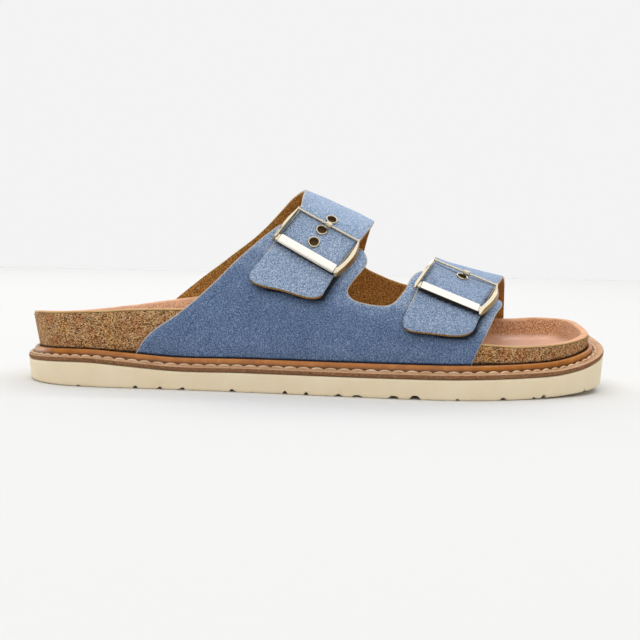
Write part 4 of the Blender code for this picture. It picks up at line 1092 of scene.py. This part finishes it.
def makeBuckle(end):
    spec, bar = buckleForm[end], buckleForm["bar"]
    barA, barB = [onStrap(x, g, buckleForm["barLift"])[0] for x, g in spec["bar"]]
    plateA, plateB = [onStrap(x, g, buckleForm["plateLift"])[0] for x, g in spec["plate"]]
    run, flat = unit(barB - barA), unit(plateB - plateA)
    out = unit(np.cross(run, 0.5 * (plateA + plateB - barA - barB)))
    out *= -np.sign(out[1])
    rod = [roundedSection(bar, bar, bar / 2)] * buckleForm["rodRows"]
    path = [barA + (barB - barA) * t for t in np.linspace(0, 1, len(rod))]
    parts = [sweep(end + "Buckle", path, [np.cross(out, run)] * len(rod), out, rod)]
    wide, thick = buckleForm["plateWide"], buckleForm["plateThick"]
    coreWide, coreThick, coreCorner = buckleForm["core"]
    core = roundedSection(coreWide * wide, coreThick * thick, coreCorner)
    full = roundedSection(wide, thick, buckleForm["corner"])
    ends, face = buckleForm["groove"]    # a groove parts the plate from its side pieces
    path = [plateA] + [plateA + flat * d for d in (ends, face)]
    path += [plateB - flat * d for d in (face, ends)] + [plateB]
    parts.append(sweep(end + "Plate", path, [np.cross(out, flat)] * len(path), out,
        [core, core, full, full, core, core]))
    parts.append(buckleSide(end + "Side", barA, plateA, -1, run, out))
    parts.append(buckleSide(end + "Side", barB, plateB, 1, run, out))
    buckle = unite(*parts)
    centre = 0.25 * (barA + barB + plateA + plateB)
    below = np.cross(out, flat)
    below *= np.sign(below @ (plateA - barA))

    def tones(spots, normal):    # pale plate, gold frame, painted shade in a darker gold away from the light, and a dark painted shade below the plate
        along = (spots - plateA) @ flat
        off = np.linalg.norm(spots - plateA - along[:, None] * flat, axis=1)
        plate = (along > ends) & (along < np.linalg.norm(plateB - plateA) - ends)
        plate &= off < toneForm["plateReach"] * wide
        away = ((spots - centre) @ run > toneForm["awayFrom"]) & (normal @ run > toneForm["awayTurn"])
        low = plate & (normal @ below > toneForm["lowTurn"])
        return np.where(low, 3, np.where(plate, 0, np.where(away, 2, 1)))

    paintFaces(buckle, tones)
    finishPiece(buckle, [paleGold, frameGold, shadedGold, shadowGold], "pale_gold", end + "_buckle", angle=25.0)
    return barA, barB


def lathe(name, profile, sides, origin, axis, closed):    # a profile of radius and height round an axis
    turns = np.linspace(0, 2 * np.pi, sides, endpoint=False)
    axis = np.array(Vector(axis).normalized())
    u = np.array(Vector(axis).orthogonal().normalized())
    v = np.cross(axis, u)
    rings = [[origin + axis * up + (u * math.cos(a) + v * math.sin(a)) * radius for a in turns]
        for radius, up in profile]
    return weld(gridSkin(name, rings, wrapRows=closed))


pinForm = {"sides": 28, "clear": 0.05, "corner": ((0.3, 0.0), (0.08, 0.08), (0.0, 0.3)), "root": 0.2,
    "least": 0.3}


def makePin(end, barA, barB):    # sleeve on the bar with a short prong towards its eyelet
    spec = buckleForm[end]
    axis = unit(barB - barA)
    centre = barA + (barB - barA) * spec["hub"]
    half, radius = buckleForm["sleeveLong"] / 2, buckleForm["sleeve"]
    bore = 0.5 * buckleForm["bar"] + pinForm["clear"]
    rear = [(bore, -half)] + [(radius - narrow, inset - half) for narrow, inset in pinForm["corner"]]
    profile = rear + [(radius, 0.0)] + [(r, -up) for r, up in rear[::-1]]
    sleeve = lathe(end + "Pin", profile, pinForm["sides"], centre, axis, True)
    down = onStrap(*eyeletForm[spec["pinned"]], buckleForm["prongAim"])[0] - centre
    length = np.linalg.norm(down)
    across = unit(np.cross(axis, down))
    tip = max(buckleForm["prongShare"], (radius + pinForm["least"]) / length)
    path = [centre + down * t for t in ((radius - pinForm["root"]) / length, tip)]
    section = roundedSection(2 * buckleForm["prong"], 2 * buckleForm["prong"], buckleForm["prong"])
    prong = sweep(end + "Prong", path, [np.cross(down, across) / length] * 2, across, [section] * 2)
    finishPiece(unite(sleeve, prong), [frameGold], "pale_gold", end + "_pin")


def makeEyelet(node, x, girth):    # a domed ring; its hole is closed by a dark face deep in the barrel, painted shade for the open hole
    point, ahead = onStrap(x, girth)
    (wide, high), (wideRound, highRound) = eyeletLook["crownAt"], eyeletLook["crownRound"]
    crown = [(wide + wideRound * math.cos(a), high + highRound * math.sin(a))
        for a in np.linspace(np.pi, eyeletLook["crownEnd"], eyeletLook["crownRows"])]
    profile = eyeletLook["cup"] + crown + eyeletLook["barrel"]
    name = node.replace("_e", "E").replace("_", "")
    ring = lathe(name, profile, eyeletLook["sides"], point, ahead, False)
    paintFaces(ring, lambda spots, normal: (spots - point) @ ahead < eyeletLook["shadeFrom"])
    finishPiece(ring, [frameGold, holeShade], "pale_gold", node, angle=50.0)


for end in ("rear", "front"):
    makePin(end, *makeBuckle(end))
for node, (x, girth) in eyeletForm.items():
    makeEyelet(node, x, girth)
print("buckles and eyelets made")

# floor, light and camera: the paper's sizes are in mm, the lamps' in metres
stageLook = {"floor": "#dddddc", "wall": "#f3f3f3", "world": 0.16, "reflected": 0.4, "near": -3000.0,
    "wallAt": 1530.0, "cove": 12.0, "coveRows": 9, "high": 3000.0, "wide": 4000.0, "wallTurn": 0.4,
    "smooth": 40.0,
    "lamps": {
        "top": {"place": (0.1, -0.3, 1.3), "aim": (0.1, -0.3, 0.0), "size": (2.2, 2.1), "power": 24.0},
        "front": {"place": (-0.2, -1.7, 0.5), "aim": (0.0, 0.0, 0.03), "size": (1.8, 0.7), "power": 5.5},
        "back": {"place": (0.0, 1.38, 1.4), "aim": (0.0, 1.48, 0.0), "size": (3.4, 0.25), "power": 17.0},
        "side": {"place": (-1.3, 0.5, 0.35), "aim": (-0.12, 0.0, 0.03), "size": (0.7, 0.6), "power": 3.2}}}
cameraLook = {"place": (-0.00045, -0.450, 0.063), "aim": (0.00135, 0.0, 0.0279), "roll": 1.3, "lens": 56.08,
    "sensor": 36.0}


def makeBackdrop():    # pale paper that curves up into an evenly lit wall
    wallAt, cove, wide = stageLook["wallAt"], stageLook["cove"], stageLook["wide"]
    rows = [(stageLook["near"], 0.0)]
    for a in np.linspace(0, np.pi / 2, stageLook["coveRows"]):
        rows.append((wallAt - cove + cove * math.sin(a), cove - cove * math.cos(a)))
    rows.append((wallAt, stageLook["high"]))
    sheet = gridSkin("backdrop", [[(x, y, z) for x in (-wide, 0.0, wide)] for y, z in rows],
        wrapColumns=False)
    paint = newMaterial("pale paper", Base_Color=linear(stageLook["floor"]), Roughness=0.9,
        Specular_IOR_Level=0.1)
    lit = newMaterial("lit paper", Base_Color=(0.0, 0.0, 0.0, 1.0), Roughness=1.0, Specular_IOR_Level=0.0,
        Emission_Color=linear(stageLook["wall"]), Emission_Strength=1.0)
    sheet.data.materials.append(paint)
    sheet.data.materials.append(lit)
    paintFaces(sheet, lambda spots, normal: abs(normal[:, 1]) > stageLook["wallTurn"])
    bpy.ops.object.shade_smooth_by_angle(angle=math.radians(stageLook["smooth"]))


def makeWorld():    # a dim even room, with brighter walls in the reflections
    world = bpy.data.worlds.new("studio")
    bpy.context.scene.world = world
    world.use_nodes = True
    nodes, links = world.node_tree.nodes, world.node_tree.links
    nodes["Background"].inputs["Color"].default_value = (1.0, 1.0, 1.0, 1.0)
    path = nodes.new("ShaderNodeLightPath")
    glow = nodes.new("ShaderNodeMapRange")
    glow.inputs["To Min"].default_value = stageLook["world"]
    glow.inputs["To Max"].default_value = stageLook["reflected"]
    links.new(path.outputs["Is Glossy Ray"], glow.inputs["Value"])
    links.new(glow.outputs[0], nodes["Background"].inputs["Strength"])


def makeLamps():
    for name, look in stageLook["lamps"].items():
        bpy.ops.object.light_add(type="AREA", location=look["place"])
        lamp = bpy.context.object
        lamp.name = name + "Softbox"
        lamp.data.shape = "RECTANGLE"
        lamp.data.size, lamp.data.size_y = look["size"]
        lamp.data.energy = look["power"]
        ahead = Vector(look["aim"]) - Vector(look["place"])
        lamp.rotation_euler = ahead.to_track_quat("-Z", "Y").to_euler()


def makeCamera():
    bpy.ops.object.camera_add(location=cameraLook["place"])
    camera = bpy.context.object
    camera.data.lens = cameraLook["lens"]
    camera.data.sensor_width = cameraLook["sensor"]
    ahead = (Vector(cameraLook["aim"]) - Vector(cameraLook["place"])).normalized()
    right = ahead.cross(Vector((0, 0, 1))).normalized()
    up = right.cross(ahead)
    a = math.radians(cameraLook["roll"])
    turned = (right * math.cos(a) + up * math.sin(a), up * math.cos(a) - right * math.sin(a), -ahead)
    camera.rotation_euler = Matrix(turned).transposed().to_euler()
    bpy.context.scene.camera = camera


makeBackdrop()
makeWorld()
makeLamps()
makeCamera()
bpy.context.scene.view_settings.view_transform = "Standard"
print("stage, light and camera made")
